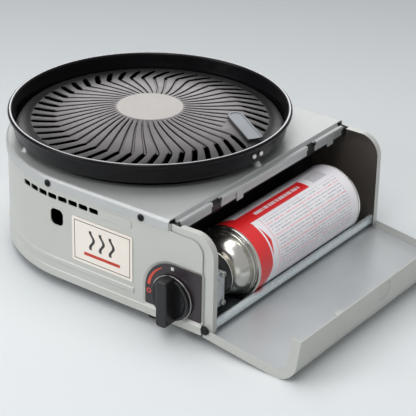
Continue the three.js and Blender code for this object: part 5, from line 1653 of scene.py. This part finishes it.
@dataclass
class NamePlate(Assembly):
    """Label on the front wall."""

    left: float = 17.9
    width: float = 67.1
    low: float = 36.1
    height: float = 42.7
    wall: float = -130.1
    thickness: float = 0.4

    def build(self) -> None:
        """Makes the label."""
        outline = rectangle(self.left, self.left + self.width, self.low, self.low + self.height, 1.6)
        foil = elevation(outline, self.wall - self.thickness, self.wall).bevelled(0.12, 2, 50)
        self.bench.piece("foil_label", "name_plate", foil, self.finishes.label)


# Cartridge and regulator


@dataclass
class Cartridge(Assembly):
    """Gas cartridge, lying from front to back. Its solids are made about its axis."""

    x: float = 133.5
    z: float = 41.8
    radius: float = 33.0
    seam: float = 0.7
    front: float = -60.5
    length: float = 159.8
    nose: float = 21.2
    neck: float = 15.5
    flange: float = 21.6

    @property
    def back(self) -> float:
        """Place of the rear end."""
        return self.front + self.length

    @property
    def tip(self) -> float:
        """Place of the dome's front."""
        return self.front - self.nose

    def dome(self) -> Solid:
        """The pressed front end with its rolled seam, groove and beads.

        Returns:
            The solid.
        """
        f, tip, neck, rim = self.front, self.tip, self.neck, self.radius + self.seam
        shoulder = rim - 6.8
        outer = [
            (0, 2.6), (0, 0.6), (-0.65, 0), (-1.3, 0), (-2.0, 1.3), (-3.6, 1.3), (-4.5, -1.2), (-6.0, -1.3),
            (-6.8, -0.6)]
        outer = filleted(shifted(outer, rim, f), [0.3, 0.6, 0.5, 0.6, 0.6, 0.6, 0.8, 0.8, 0.3], steps=4)
        turns = [math.pi / 2 * k / 16 for k in range(1, 16)]
        rise = f - 0.6 - tip - 5.2
        sweep = [(neck + (shoulder - neck) * math.cos(t), f - 0.6 - rise * math.sin(t)) for t in turns]
        end = filleted([sweep[-1], (neck, tip + 4.6), (neck, tip), (0, tip)], [0, 1.2, 0.6, 0], steps=4)
        wide, narrow = shoulder - 1.8, neck - 3.6
        hollow = [(0, f + 5), (wide, f + 5), (wide, f - 3.6), (narrow, tip + 5.2), (0, tip + 5.2)]
        return front_to_back([(0, f + 2.6)] + outer + sweep[:-1] + end, 96) - front_to_back(hollow, 48)

    def base(self) -> Solid:
        """The rear end, dished in.

        Returns:
            The solid.
        """
        r = self.radius + self.seam
        line = [(0, -2.3), (r, -2.3), (r, -0.6), (r - 0.65, 0), (r - 1.3, 0), (r - 2.1, -1.3), (0, -1.3)]
        return front_to_back(filleted(shifted(line, 0, self.back), [0, 0.2, 0.5, 0.4, 0.5, 0.5, 0]), 96)

    def build(self) -> None:
        """Makes the pieces of the cartridge."""
        finishes, tip, start = self.finishes, self.tip, self.tip - 1.5
        shell = front_to_back(ring(self.radius - 0.8, self.radius, self.front + 2.9, self.back - 2.6), 128)
        flange = front_to_back(ring(12.3, self.flange, start, start + 1.2, 0.35), 96)
        notch = rectangle(-2.5, 2.5, self.flange - 5, self.flange + FAR, 0.6)
        flange = flange - elevation(notch, start - FAR, start + 4)
        cup = [(0, -0.3), (12, -0.3), (12, -2.1), (10.8, -2.7), (9.6, -2.7), (8.4, -0.9), (0, -0.9)]
        cup = filleted(shifted(cup, 0, tip), [0, 0.2, 0.6, 0.5, 0.4, 0.4, 0])
        stem = [(0, -1.2), (3.8, -1.2), (3.8, -1.8), (1.9, -1.8), (1.9, -5.4), (0, -5.4)]
        stem = filleted(shifted(stem, 0, tip), [0, 0.2, 0.2, 0.2, 0.4, 0])
        for name, node, solid, finish, crease in (
                ("can_shell", "cartridge_shell", shell, finishes.can, 32),
                ("can_dome", "cartridge_dome", self.dome(), finishes.tin, 40),
                ("can_base", "cartridge_base", self.base(), finishes.tin, 40),
                ("can_flange", "cartridge_flange", flange, finishes.tin, 32),
                ("valve_seat", "valve_cup", front_to_back(cup, 64), finishes.tin, 32),
                ("nozzle_stem", "valve_stem", front_to_back(stem, 32), finishes.glaze, 32)):
            self.bench.piece(name, node, solid.moved(self.x, 0, self.z), finish, "cartridge", crease)


@dataclass
class Regulator(Assembly):
    """Die-cast regulator, its diaphragm cover with four bolts, and the ring that holds the cartridge."""

    y: float = -110.2
    z: float = 40.5
    half: float = 16.9
    corner: float = 6.0
    left: float = 119.0
    right: float = 151.6
    pipe_z: float = 30.0
    bolt_place: float = 13.4
    bolt_hole: float = 1.7
    lid_sheet: float = 2.6

    def square(self) -> Line:
        """Cross-section of the casting."""
        y, z, h = self.y, self.z, self.half
        return rectangle(y - h, y + h, z - h, z + h, self.corner)

    def bolts(self) -> Line:
        """Places of the bolts, as Y and Z."""
        off = self.bolt_place
        return [(self.y + a * off, self.z + b * off) for a, b in ((-1, -1), (-1, 1), (1, -1), (1, 1))]

    def at_bolts(self, profile: Line, steps: int) -> Solid:
        """A turned form at the place of each bolt."""
        return together([sideways(profile, steps).moved(0, y, z) for y, z in self.bolts()])

    def casting(self) -> Solid:
        """The main casting, with its neck for the cartridge and its outlet for the gas pipe.

        Returns:
            The solid.
        """
        left, right, waist = self.left, self.right, (self.left + self.right) / 2
        can, knob, pipe = (Cartridge.x, 0, Cartridge.z), (Control.x, 0, Control.z), (0, self.y, self.pipe_z)
        barrel = [(0, left), (13.9, left), (self.half, left + 6), (self.half, waist + 6), (0, waist + 6)]
        casting = section(self.square(), waist, right).bevelled(0.8, 3, 50)
        casting = casting + sideways(filleted(barrel, [0, 1.5, 2, 0, 0]), 64).moved(0, self.y, self.z)
        casting = casting + front_to_back(rod(10.6, self.y + 10.9, -85.0), 48).moved(*can)
        casting = casting + sideways(rod(5.6, left - 4, waist, 0.6), 40).moved(*pipe)
        for cutter in (
                elevation(rectangle(0, 170, 0, 107), -131, -127.8),
                front_to_back(rod(3.06, -131, -120.9), 32).moved(*knob),
                front_to_back(rod(2.5, -87.0, -81), 32).moved(*can),
                sideways(rod(2.9, left - 8, left), 32).moved(*pipe)):
            casting = casting - cutter
        return casting - self.at_bolts(rod(self.bolt_hole, right - 7, right + FAR), 24)

    def lid(self) -> Solid:
        """The diaphragm cover with its domed middle.

        Returns:
            The solid.
        """
        start = self.right + GAP
        face = start + self.lid_sheet
        dome = [(0, -2.6), (13.2, -2.6), (13.2, 0), (12.4, 2.0), (9.6, 3.2), (9.2, 4.4), (6.0, 5.4), (0, 5.4)]
        dome = filleted(shifted(dome, 0, face), [0, 0, 0, 1.2, 0.8, 0.8, 1.5, 0])
        lid = section(self.square(), start, face).bevelled(0.6, 3, 50)
        lid = lid + sideways(dome, 64).moved(0, self.y, self.z)
        lid = lid - self.at_bolts(rod(3.0, face, face + 9), 32)
        return lid - self.at_bolts(rod(self.bolt_hole, start - FAR, face + FAR), 24)

    def build(self) -> None:
        """Makes the regulator and its holder."""
        piece, finishes = self.bench.piece, self.finishes
        piece("regulator_casting", "regulator_body", self.casting(), finishes.cast)
        piece("diaphragm_lid", "diaphragm_cover", self.lid(), finishes.cast)
        face = self.right + 2 * GAP + self.lid_sheet
        head = [(0, -7), (1.4, -7), (1.4, 0), (2.7, 0), (2.7, 1.5), (2.0, 2.2), (0, 2.2)]
        head = filleted(shifted(head, 0, face), [0, 0, 0, 0, 0.3, 0.3, 0])
        bolt = sideways(head, 32) - sideways(rod(1.3, face + 1.2, face + FAR), 6)
        for i, (y, z) in enumerate(self.bolts(), 1):
            piece(f"lid_bolt_{i}", f"regulator_bolt_{i}", bolt.moved(0, y, z), finishes.steel)
        front, back = self.y + self.half + GAP, -83.8
        line = filleted([
            (10.9, front), (19.2, front), (21.4, front + 2.2), (21.4, back), (19.2, back), (12.6, back - 1.2),
            (12.6, back - 2.4), (10.9, back - 2.4)], 0.5, True, 3)
        holder = front_to_back(line + [line[0]], 96).moved(Cartridge.x, 0, Cartridge.z)
        piece("magnet_ring", "cartridge_holder", holder, finishes.plastic)


# Burner


@dataclass
class Burner(Assembly):
    """Burner with its stand, feed, nozzle, pipe and igniter."""

    feed_degrees: float = -45.0
    feed_z: float = 65.0
    bottom: float = 54.0
    top: float = 83.0
    bowl: float = 26.0
    flare: float = 36.4
    ports: int = 32
    port_half: float = 0.9
    electrode_y: float = -43.5

    def along_feed(self, solid: Solid) -> Solid:
        """Turns a solid along X to the direction of the feed."""
        return solid.moved(z=self.feed_z).turned(self.feed_degrees)

    def pan(self) -> Solid:
        """The bowl under the cap, bored for the mixing tube.

        Returns:
            The solid.
        """
        r, low, top, flare = self.bowl, self.bottom, self.top, self.flare
        line = [
            (0, low), (r - 6, low), (r, low + 6), (r, top - 8.6), (flare, top), (flare - 2, top), (r - 2, top - 7.6),
            (r - 2, low + 6), (r - 6, low + 2), (0, low + 2)]
        bowl = upright(filleted(line, [0, 3, 2, 2, 0.6, 0.6, 1, 1, 1, 0]), 72)
        boss, bore = (self.along_feed(sideways(form, 40)) for form in (rod(9.5, r - 6, 28), rod(8.2, 0, 31.3)))
        return bowl + boss - bore

    def cap(self) -> Solid:
        """The ported cap.

        Returns:
            The solid.
        """
        r, f, low = self.bowl, self.flare, self.top + GAP
        line = [
            (0, 2.4), (r, 2.4), (f - 4.8, 0), (f, 0), (f + 0.8, 3.4), (f - 2.4, 6.2), (r, 8.6), (15.1, 8.6),
            (12.7, 7.4), (0, 7.4)]
        cap = upright(filleted(shifted(line, 0, low), [0, 0.5, 0.3, 0.4, 1.0, 1.0, 1.5, 0.8, 0.8, 0]), 96)
        port = elevation(rectangle(-self.port_half, self.port_half, low - FAR, low + 3.2), f - 4.8, f + 4.8)
        return cap - together([port.turned((i + 0.5) * 360 / self.ports) for i in range(self.ports)])

    def stand(self) -> Solid:
        """The bent strap that carries the bowl."""
        line = [(-32, 14.2), (-22, 14.2), (-22, 53.7), (22, 53.7), (22, 14.2), (32, 14.2)]
        return elevation(sheet_line(filleted(line, [0, 1, 2, 2, 1, 0])[::-1], 1.2), -13, 13)

    def mixing_tube(self) -> Solid:
        """The mixing tube, which narrows to its throat.

        Returns:
            The solid.
        """
        outer = [(9.5, 28.3), (9.5, 54.3), (6.8, 69.3), (11, 80.3)]
        line = filleted(outer + [(r - 1.3, x) for r, x in outer[::-1]], [0.3, 8, 8, 0.3, 0.3, 8, 8, 0.3], True)
        return self.along_feed(sideways(line + [line[0]], 48))

    def pipe(self) -> Solid:
        """The gas pipe from the regulator to the nozzle.

        Returns:
            The solid.
        """
        end = Matrix.Rotation(math.radians(self.feed_degrees), 4, "Z") @ Vector((92.6, 0, 0))
        lead = end * 1.12
        y, z = Regulator.y, Regulator.pipe_z
        return wire([
            (115.3, y, z), (95, y, z), (87.2, y, z + 1.3), (lead.x + 5.2, -99.8, 47.5), (lead.x, lead.y, 63.7),
            (end.x, end.y, self.feed_z)], 2.6, 20)

    def lead(self) -> Solid:
        """The igniter's lead, from its block under the bowl to the electrode.

        Returns:
            The solid.
        """
        y = self.electrode_y
        return wire([
            (102.1, -110.2, 50.5), (94.1, -110.2, 50.5), (68.4, -109.1, 51.6), (38, -94.8, 50.5), (17, -73.9, 45.7),
            (11.4, -68.3, 45.1), (1.6, y - 4.6, 45.9), (0, y - 1.2, 46.1), (0, y - 0.1, 48.6), (0, y, 59.7)], 1.1, 12)

    def strap(self) -> Solid:
        """The arm that holds the electrode at the bowl.

        Returns:
            The solid.
        """
        y, low = self.electrode_y, 63.4
        line = filleted([(y - 2.6 - 11 / 3, low), (-28.4, low), (-28.4, low - 5.5)], [0, 1.2, 0])
        return section(sheet_line(line, 1.2), -5.5, 5.5) - upright(rod(2.9, low - FAR, low + FAR), 32).moved(y=y)

    def build(self) -> None:
        """Makes the burner and the igniter."""
        y, finishes = self.electrode_y, self.finishes
        jet = [(0, 82.8), (1.27, 82.8), (2.53, 85.3), (4.6, 85.3), (4.6, 89.8), (2.9, 92.3), (0, 92.3)]
        block = elevation(rectangle(102.4, 114.4, 43, 58, 2.5), -127.3, -103.3).bevelled(0.5, 3, 50)
        rod_line = filleted([(0, 60), (2.6, 60), (2.6, 81), (1.3, 81.8), (0, 81.8)], [0, 0.4, 0.5, 0.2, 0])
        tip = [(0, y, 82.1), (0, y, 83.7), (0, (y - 38.3) / 2, 85.3), (0, -38.3, 85.3)]
        for name, node, solid, finish in (
                ("burner_pan", "burner_bowl", self.pan(), finishes.steel),
                ("flame_cap", "burner_cap", self.cap(), finishes.black_sheet),
                ("burner_strap", "burner_stand", self.stand(), finishes.zinc),
                ("venturi", "mixing_tube", self.mixing_tube(), finishes.zinc),
                ("jet", "gas_nozzle", self.along_feed(sideways(jet, 6)), finishes.brass),
                ("feed_pipe", "gas_pipe", self.pipe(), finishes.brass),
                ("spark_block", "igniter_block", block, finishes.plastic),
                ("spark_lead", "igniter_lead", self.lead(), finishes.lead),
                ("electrode_rod", "spark_electrode", upright(rod_line, 32).moved(y=y), finishes.glaze),
                ("spark_tip", "electrode_tip", wire(tip, 0.8, 12), finishes.steel),
                ("electrode_strap", "electrode_arm", self.strap(), finishes.steel)):
            self.bench.piece(name, node, solid, finish)


# Tray and plate


@dataclass
class WaterTray(Assembly):
    """Black water tray with its rolled rim, and the bracket riveted inside it."""

    rim: float = 128.9
    top: float = 133.4
    roll: float = 2.2
    sheet: float = 1.4
    shoulder: float = 124.2
    knee: float = 116.5
    bearing: float = 113.1
    ledge_inner: float = 109.6
    floor: float = 92.3
    chimney: float = 47.4
    chimney_top: float = 110.0
    bracket_degrees: float = -3.9
    bracket_gap: float = 0.9
    bracket_ends: Point2 = (117.1, 126.1)
    spacing: float = 9.0

    @property
    def head(self) -> float:
        """Height at which the rolled rim starts."""
        return self.top - 2 * self.roll

    @property
    def foot(self) -> float:
        """Height at which the inner side wall starts."""
        return self.bearing + self.sheet + 2

    def inside(self, z: float) -> float:
        """Inner radius of the side wall at a height."""
        low, high = self.shoulder - self.sheet, self.rim - 2 * self.roll
        return low + (z - self.foot) * (high - low) / (self.head - self.foot)

    def profile(self) -> Line:
        """Closed profile of radius and height.

        Returns:
            The ring of points.
        """
        sheet, shoulder, bearing, ledge = self.sheet, self.shoulder, self.bearing, self.ledge_inner
        floor, chimney = self.floor, self.chimney
        roll = arc(self.rim - self.roll, self.top - self.roll, self.roll, 180, -63, 20)
        outer = [
            (self.inside(self.head) + sheet, self.head), (shoulder, self.knee), (shoulder - 2.2, bearing),
            (ledge, bearing), (ledge - 1.8, floor), (chimney + 1.8, floor), (chimney, self.chimney_top)]
        inner = [
            (chimney + sheet, self.chimney_top), (chimney + 3.2, floor + sheet), (ledge - 3.2, floor + sheet),
            (ledge - sheet, bearing + sheet), (shoulder - 2.4, bearing + sheet), (self.inside(self.knee), self.knee)]
        line = filleted(outer + inner, [0.6, 2.5, 2.0, 2.0, 3.5, 3.0, 0.6, 0.6, 2.0, 2.4, 2.2, 1.4, 3.0], steps=6)
        return roll + line + [roll[0]]

    def at_rivet(self, profile: Line, side: Side) -> Solid:
        """A turned form on one rivet's axis.

        Args:
            profile: Points of radius and place.
            side: Side of the rivet.

        Returns:
            The solid.
        """
        z = (self.foot + self.head) / 2
        form = sideways(profile, 32).moved(self.inside(z), side.value * self.spacing / 2, z)
        return form.turned(self.bracket_degrees)

    def build(self) -> None:
        """Makes the tray, bracket and rivets."""
        piece, finishes = self.bench.piece, self.finishes
        holes = together([self.at_rivet(rod(1.6, -5.1, 5.1), side) for side in Side])
        piece("black_tray", "water_tray", upright(self.profile(), 192) - holes, finishes.enamel, "tray", 40)
        low, high = self.bracket_ends
        start, end = self.inside(low) - self.bracket_gap, self.inside(high) - self.bracket_gap
        line = filleted([(start - 5.4, low), (start, low), (end, high)], [0, 1.5, 0])
        bracket = elevation(sheet_line(line, 1.2), -6.5, 6.5).turned(self.bracket_degrees) - holes
        piece("tray_bracket", "locating_bracket", bracket, finishes.steel, "tray")
        head = filleted([(0, -2.4), (1.3, -2.4), (1.3, 1.8), (2.5, 1.8), (1.9, 3.1), (0, 3.1)], [0, 0, 0, 0.2, 0.7, 0])
        for side in Side:
            end_name = side.name.lower()
            piece(f"rivet_{end_name}", f"tray_rivet_{end_name}", self.at_rivet(head, side), finishes.rivet, "tray")


@dataclass
class GrillPlate(Assembly):
    """Domed plate with curved grooves that open into leaning slots."""

    radius: float = 119.2
    top: float = 131.3
    disc: float = 30.2
    slot_in: float = 84.6
    slot_out: float = 108.0
    count: int = 48
    slot_half: float = 2.65
    slot_turn: float = -6.8
    phase: float = 5.6
    groove_turn: float = -9.0
    groove_depth: float = 1.9
    drop: float = 9.9
    margin: float = 113.6
    thickness: float = 4.2
    foot: float = 114.8
    skipped: tuple[int, ...] = (1, 2)

    def dome(self, r: float) -> float:
        """Height of the plate's top at a radius.

        Args:
            r: Radius.

        Returns:
            The height.
        """
        if r <= self.disc:
            return self.top
        if r <= self.slot_out:
            return self.top - self.drop * ((r - self.disc) / (self.slot_out - self.disc)) ** 0.95
        edge = self.top - self.drop
        if r <= self.margin:
            return edge - 1.9 * (r - self.slot_out) / (self.margin - self.slot_out)
        return edge - 1.9 - 0.3 * (r - self.margin) / (self.radius - self.margin)

    def lower(self, r: float) -> float:
        """Height of the underside at a radius."""
        share = min(max((r - 109) / 3, 0.0), 1.0)
        return (self.dome(min(r, 109)) - self.thickness) * (1 - share) + self.foot * share

    def swirl(self, r: float) -> float:
        """Turn of the groove's or slot's middle line at a radius, in degrees.

        Args:
            r: Radius.

        Returns:
            The turn.
        """
        if r <= self.slot_in:
            share = (self.slot_in - max(r, self.disc)) / (self.slot_in - self.disc)
            return self.groove_turn * share ** 1.4
        return self.slot_turn * min(r - self.slot_in, self.slot_out - self.slot_in) / (self.slot_out - self.slot_in)

    def half(self, r: float) -> float:
        """Half width of the groove or slot at a radius.

        Args:
            r: Radius.

        Returns:
            The half width in millimetres.
        """
        groove = 0.72 + 0.83 * (r - self.disc) / (self.slot_in - self.disc)
        if r <= self.slot_in:
            return max(groove, 0.65)
        wide = groove + (self.slot_half - groove) * eased((r - self.slot_in) / 4.0)
        left = self.slot_out - r
        if left < self.slot_half:
            wide *= math.sqrt(max(1 - ((self.slot_half - left) / self.slot_half) ** 2, 0.02))
        return wide

    def depth(self, r: float) -> float:
        """Depth of the groove at a radius."""
        return self.groove_depth * eased((r - self.disc) / 4.0)

    def rows(self) -> list[float]:
        """Radii of the rows of points, from the centre disc outwards.

        Returns:
            The radii.
        """
        start, out = self.slot_in, self.slot_out
        rows = [26.0, 29.0, 30.2, 31.2, 32.4, 34.2]
        rows += [34.2 + (start - 34.2) * k / 17 for k in range(1, 18)]
        rows += [start + d for d in (0.8, 1.8, 2.8, 4.0)]
        rows += [start + 4 + (out - 2.2 - start - 4) * k / 6 for k in range(1, 7)]
        rows += [out - d for d in (1.5, 0.8, 0.3, 0.04, -1.2)]
        return rows + [111.0, self.margin, 116.5, 118.6, self.radius]

    def across(self, r: float, is_solid: bool) -> Line:
        """One pitch of the top at a radius.

        Args:
            r: Radius.
            is_solid: Whether this pitch has no slot.

        Returns:
            Places across the pitch, from the middle of its groove, and their heights.
        """
        h = self.half(r)
        limit = math.radians(360 / self.count) * r - 2 * h
        soft, flat = min(0.55, limit * 0.2), min(1.3, limit * 0.4)
        deep = self.depth(r) if r <= self.slot_in and not (is_solid and r > 70) else 0.0
        edge = -0.048 if self.disc < r < self.slot_out - 0.2 else 0.0
        shares = ((-1.0, 0.1), (-0.82, 0.45), (-0.45, 0.93), (0.0, 1.0), (0.45, 0.93), (0.82, 0.45), (1.0, 0.1))
        spots = [(share * h, -deep * fall) for share, fall in shares]
        if self.slot_in < r < self.slot_out and not is_solid:
            spots[0], spots[-1] = (-h, -0.35), (h, -0.35)
        return [(-h - flat, 0.0), (-h - soft, edge)] + spots + [(h + soft, edge), (h + flat, 0.0)]

    def shape(self) -> Solid:
        """The plate as a thick sheet with the slots left out.

        Returns:
            The solid.
        """
        rows, per = self.rows(), len(self.across(self.radius, True))
        columns, last = per * self.count, len(rows) - 2
        top: list[Point3] = []
        under: list[Point3] = []
        for r in rows:
            for k in range(self.count):
                middle = math.radians(k * 360 / self.count + self.phase + self.swirl(r))
                for off, lift in self.across(r, k in self.skipped):
                    x, y = r * math.cos(middle + off / r), r * math.sin(middle + off / r)
                    top.append((x, y, self.dome(r) + lift))
                    under.append((x, y, self.lower(r)))
        gaps = {
            (i, j) for i in range(last + 1) for j in range(columns)
            if self.slot_in < (rows[i] + rows[i + 1]) / 2 < self.slot_out
            and j // per not in self.skipped and 2 <= j % per < 8}

        def vertex(i: int, j: int, low: bool) -> int:
            """Index of a grid point on the top or the underside."""
            return i * columns + j % columns + (len(top) if low else 0)

        faces: list[Sequence[int]] = []
        for i, j in ((i, j) for i in range(last + 1) for j in range(columns) if (i, j) not in gaps):
            a, b, c, d = corners = ((i, j), (i, j + 1), (i + 1, j + 1), (i + 1, j))
            faces.append([vertex(*p, False) for p in (a, d, c, b)])
            faces.append([vertex(*p, True) for p in corners])
            beside = ((i - 1, j), (i, (j + 1) % columns), (i + 1, j), (i, (j - 1) % columns))
            for p, q, neighbour in zip(corners, (b, c, d, a), beside):
                if neighbour in gaps or neighbour[0] > last:
                    faces.append([vertex(*p, False), vertex(*q, False), vertex(*q, True), vertex(*p, True)])
        places = top + under + [(0, 0, self.top), (0, 0, self.top - self.thickness)]
        centre = len(places) - 2
        for j in range(columns):
            faces.append([centre, vertex(0, j, False), vertex(0, j + 1, False)])
            faces.append([centre + 1, vertex(0, j + 1, True), vertex(0, j, True)])
        return stitched(places, faces)

    def notches(self) -> Solid:
        """Cutters of the finger notch and of the notch for the tray's bracket.

        Returns:
            The cutters as one solid.
        """
        return together([
            elevation(rectangle(self.radius - deep, self.radius + FAR, 0, 132), -7, 7).turned(turn)
            for deep, turn in ((9.4, 7.6), (5.2, -3.9))])

    def tab(self) -> Solid:
        """The flat lifting tab with its round inner end.

        Returns:
            The solid.
        """
        inner, outer = (
            Vector((r * math.cos(math.radians(turn)), r * math.sin(math.radians(turn))))
            for r, turn in ((78.4, 28.4), (107.6, 8.3)))
        along, half, rim = outer - inner, 7.25, 1.7
        pad, dish = (
            [(end, width)] + arc(0, 0, width, 90, 270, 24) + [(end, -width)]
            for end, width in ((along.length, half), (along.length + FAR, half - rim)))
        high, low = self.dome(inner.length - half), self.dome(outer.length)
        slope = math.degrees(math.atan2(high - low, along.length + half))
        tab = plan(pad, 0, 2.2).bevelled(0.5, 3, 50) - plan(dish, 1.75, 3)
        return tab.turned(slope, "Y").turned(math.degrees(along.angle_signed(Vector((1, 0))))).moved(
            inner.x, inner.y, high + 0.6)

    def build(self) -> None:
        """Makes the plate and its tab."""
        plate = self.shape() - self.notches()
        self.bench.piece("slotted_plate", "grill_plate", plate, self.finishes.coating, "plate", 38)
        self.bench.piece("flat_tab", "lifting_tab", self.tab(), self.finishes.tab, "plate")


# Studio


@dataclass
class Studio(Assembly):
    """Camera, lamps, world and floor."""

    azimuth: float = 38.75
    elevation: float = 26.34
    place: Point3 = (867.3, -1093.2, 739.6)
    focal: float = 1679.09
    image: float = 416.0
    sensor: float = 36.0
    principal: Point2 = (141.29, 187.9)
    sky: tuple[float, float, float, float] = (0.88, 0.885, 0.89, 1.0)
    sky_strength: float = 0.46
    floor_half: float = 6.0

    @staticmethod
    def added(name: str, data: bpy.types.ID, place: Sequence[float], look: Vector) -> bpy.types.Object:
        """Puts a camera or lamp in its place.

        Args:
            name: Name of the object.
            data: Its data.
            place: Its place in metres.
            look: Direction that it faces.

        Returns:
            The object.
        """
        thing = linked(name, data)
        thing.location = place
        thing.rotation_euler = look.to_track_quat("-Z", "Y").to_euler()
        return thing

    def camera(self) -> None:
        """Sets the camera where the photograph was taken from."""
        data = bpy.data.cameras.new("camera")
        data.sensor_fit = "HORIZONTAL"
        data.sensor_width = self.sensor
        data.lens = self.focal / self.image * self.sensor
        data.shift_x = (self.image / 2 - self.principal[0]) / self.image
        data.shift_y = (self.principal[1] - self.image / 2) / self.image
        data.clip_end = 20.0
        az, el = math.radians(self.azimuth), math.radians(self.elevation)
        look = Vector((-math.sin(az) * math.cos(el), math.cos(az) * math.cos(el), -math.sin(el)))
        place = Vector(self.bench.spot(*self.place)) * MM
        bpy.context.scene.camera = self.added("camera", data, place, look)

    def lamp(self, name: str, place: Point3, height: float, size: float, power: float) -> bpy.types.Object:
        """Adds a soft lamp.

        Args:
            name: Name of the lamp.
            place: Its place in metres.
            height: Height in metres of the point over the origin that it faces.
            size: Width of its square in metres.
            power: Power in watts.

        Returns:
            The lamp.
        """
        data = bpy.data.lights.new(name, "AREA")
        data.size = size
        data.energy = power
        return self.added(name, data, place, Vector((0, 0, height)) - Vector(place))

    def build(self) -> None:
        """Makes the world, the lamps and the floor."""
        scene, world = bpy.context.scene, bpy.data.worlds.new("world")
        world.use_nodes = True
        background = world.node_tree.nodes["Background"].inputs
        background["Color"].default_value = self.sky
        background["Strength"].default_value = self.sky_strength
        scene.world = world
        self.lamp("overhead", (-0.35, 0.0, 1.7), 0.0, 1.5, 16)
        self.lamp("left_front", (-1.0, -1.6, 1.0), 0.05, 1.0, 11)
        self.lamp("front_high", (0.5, -1.3, 1.9), 0.05, 0.8, 12)
        self.lamp("back_sheen", (-1.6, 2.0, 1.1), 0.1, 1.5, 13).visible_diffuse = False
        mesh, half = bpy.data.meshes.new("floor"), self.floor_half
        mesh.from_pydata([(x, y, 0) for x, y in rectangle(-half, half, -half, half)], [], [(0, 1, 2, 3)])
        mesh.materials.append(self.finishes.floor.material())
        linked("floor", mesh)
        scene.view_settings.view_transform = "Standard"


def main() -> None:
    """Builds the studio and every sub-assembly."""
    logging.basicConfig(level=logging.INFO, format="%(name)s: %(message)s", stream=sys.stdout, force=True)
    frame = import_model()
    log.info("frame of %d nodes", len(frame["nodes"]))
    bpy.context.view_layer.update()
    bench = Workbench()
    studio = Studio(bench)
    studio.camera()
    control = Control(bench)
    body = Body(bench, control)
    body.build()
    TopPlate(bench, body).build()
    Underside(bench, body).build()
    Partition(bench).build()
    Cover(bench).build()
    control.build()
    for assembly in (NamePlate, Cartridge, Regulator, Burner, WaterTray, GrillPlate):
        assembly(bench).build()
    studio.build()
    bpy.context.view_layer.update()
    log.info("%d pieces", bench.count)


if __name__ == "__main__":
    main()
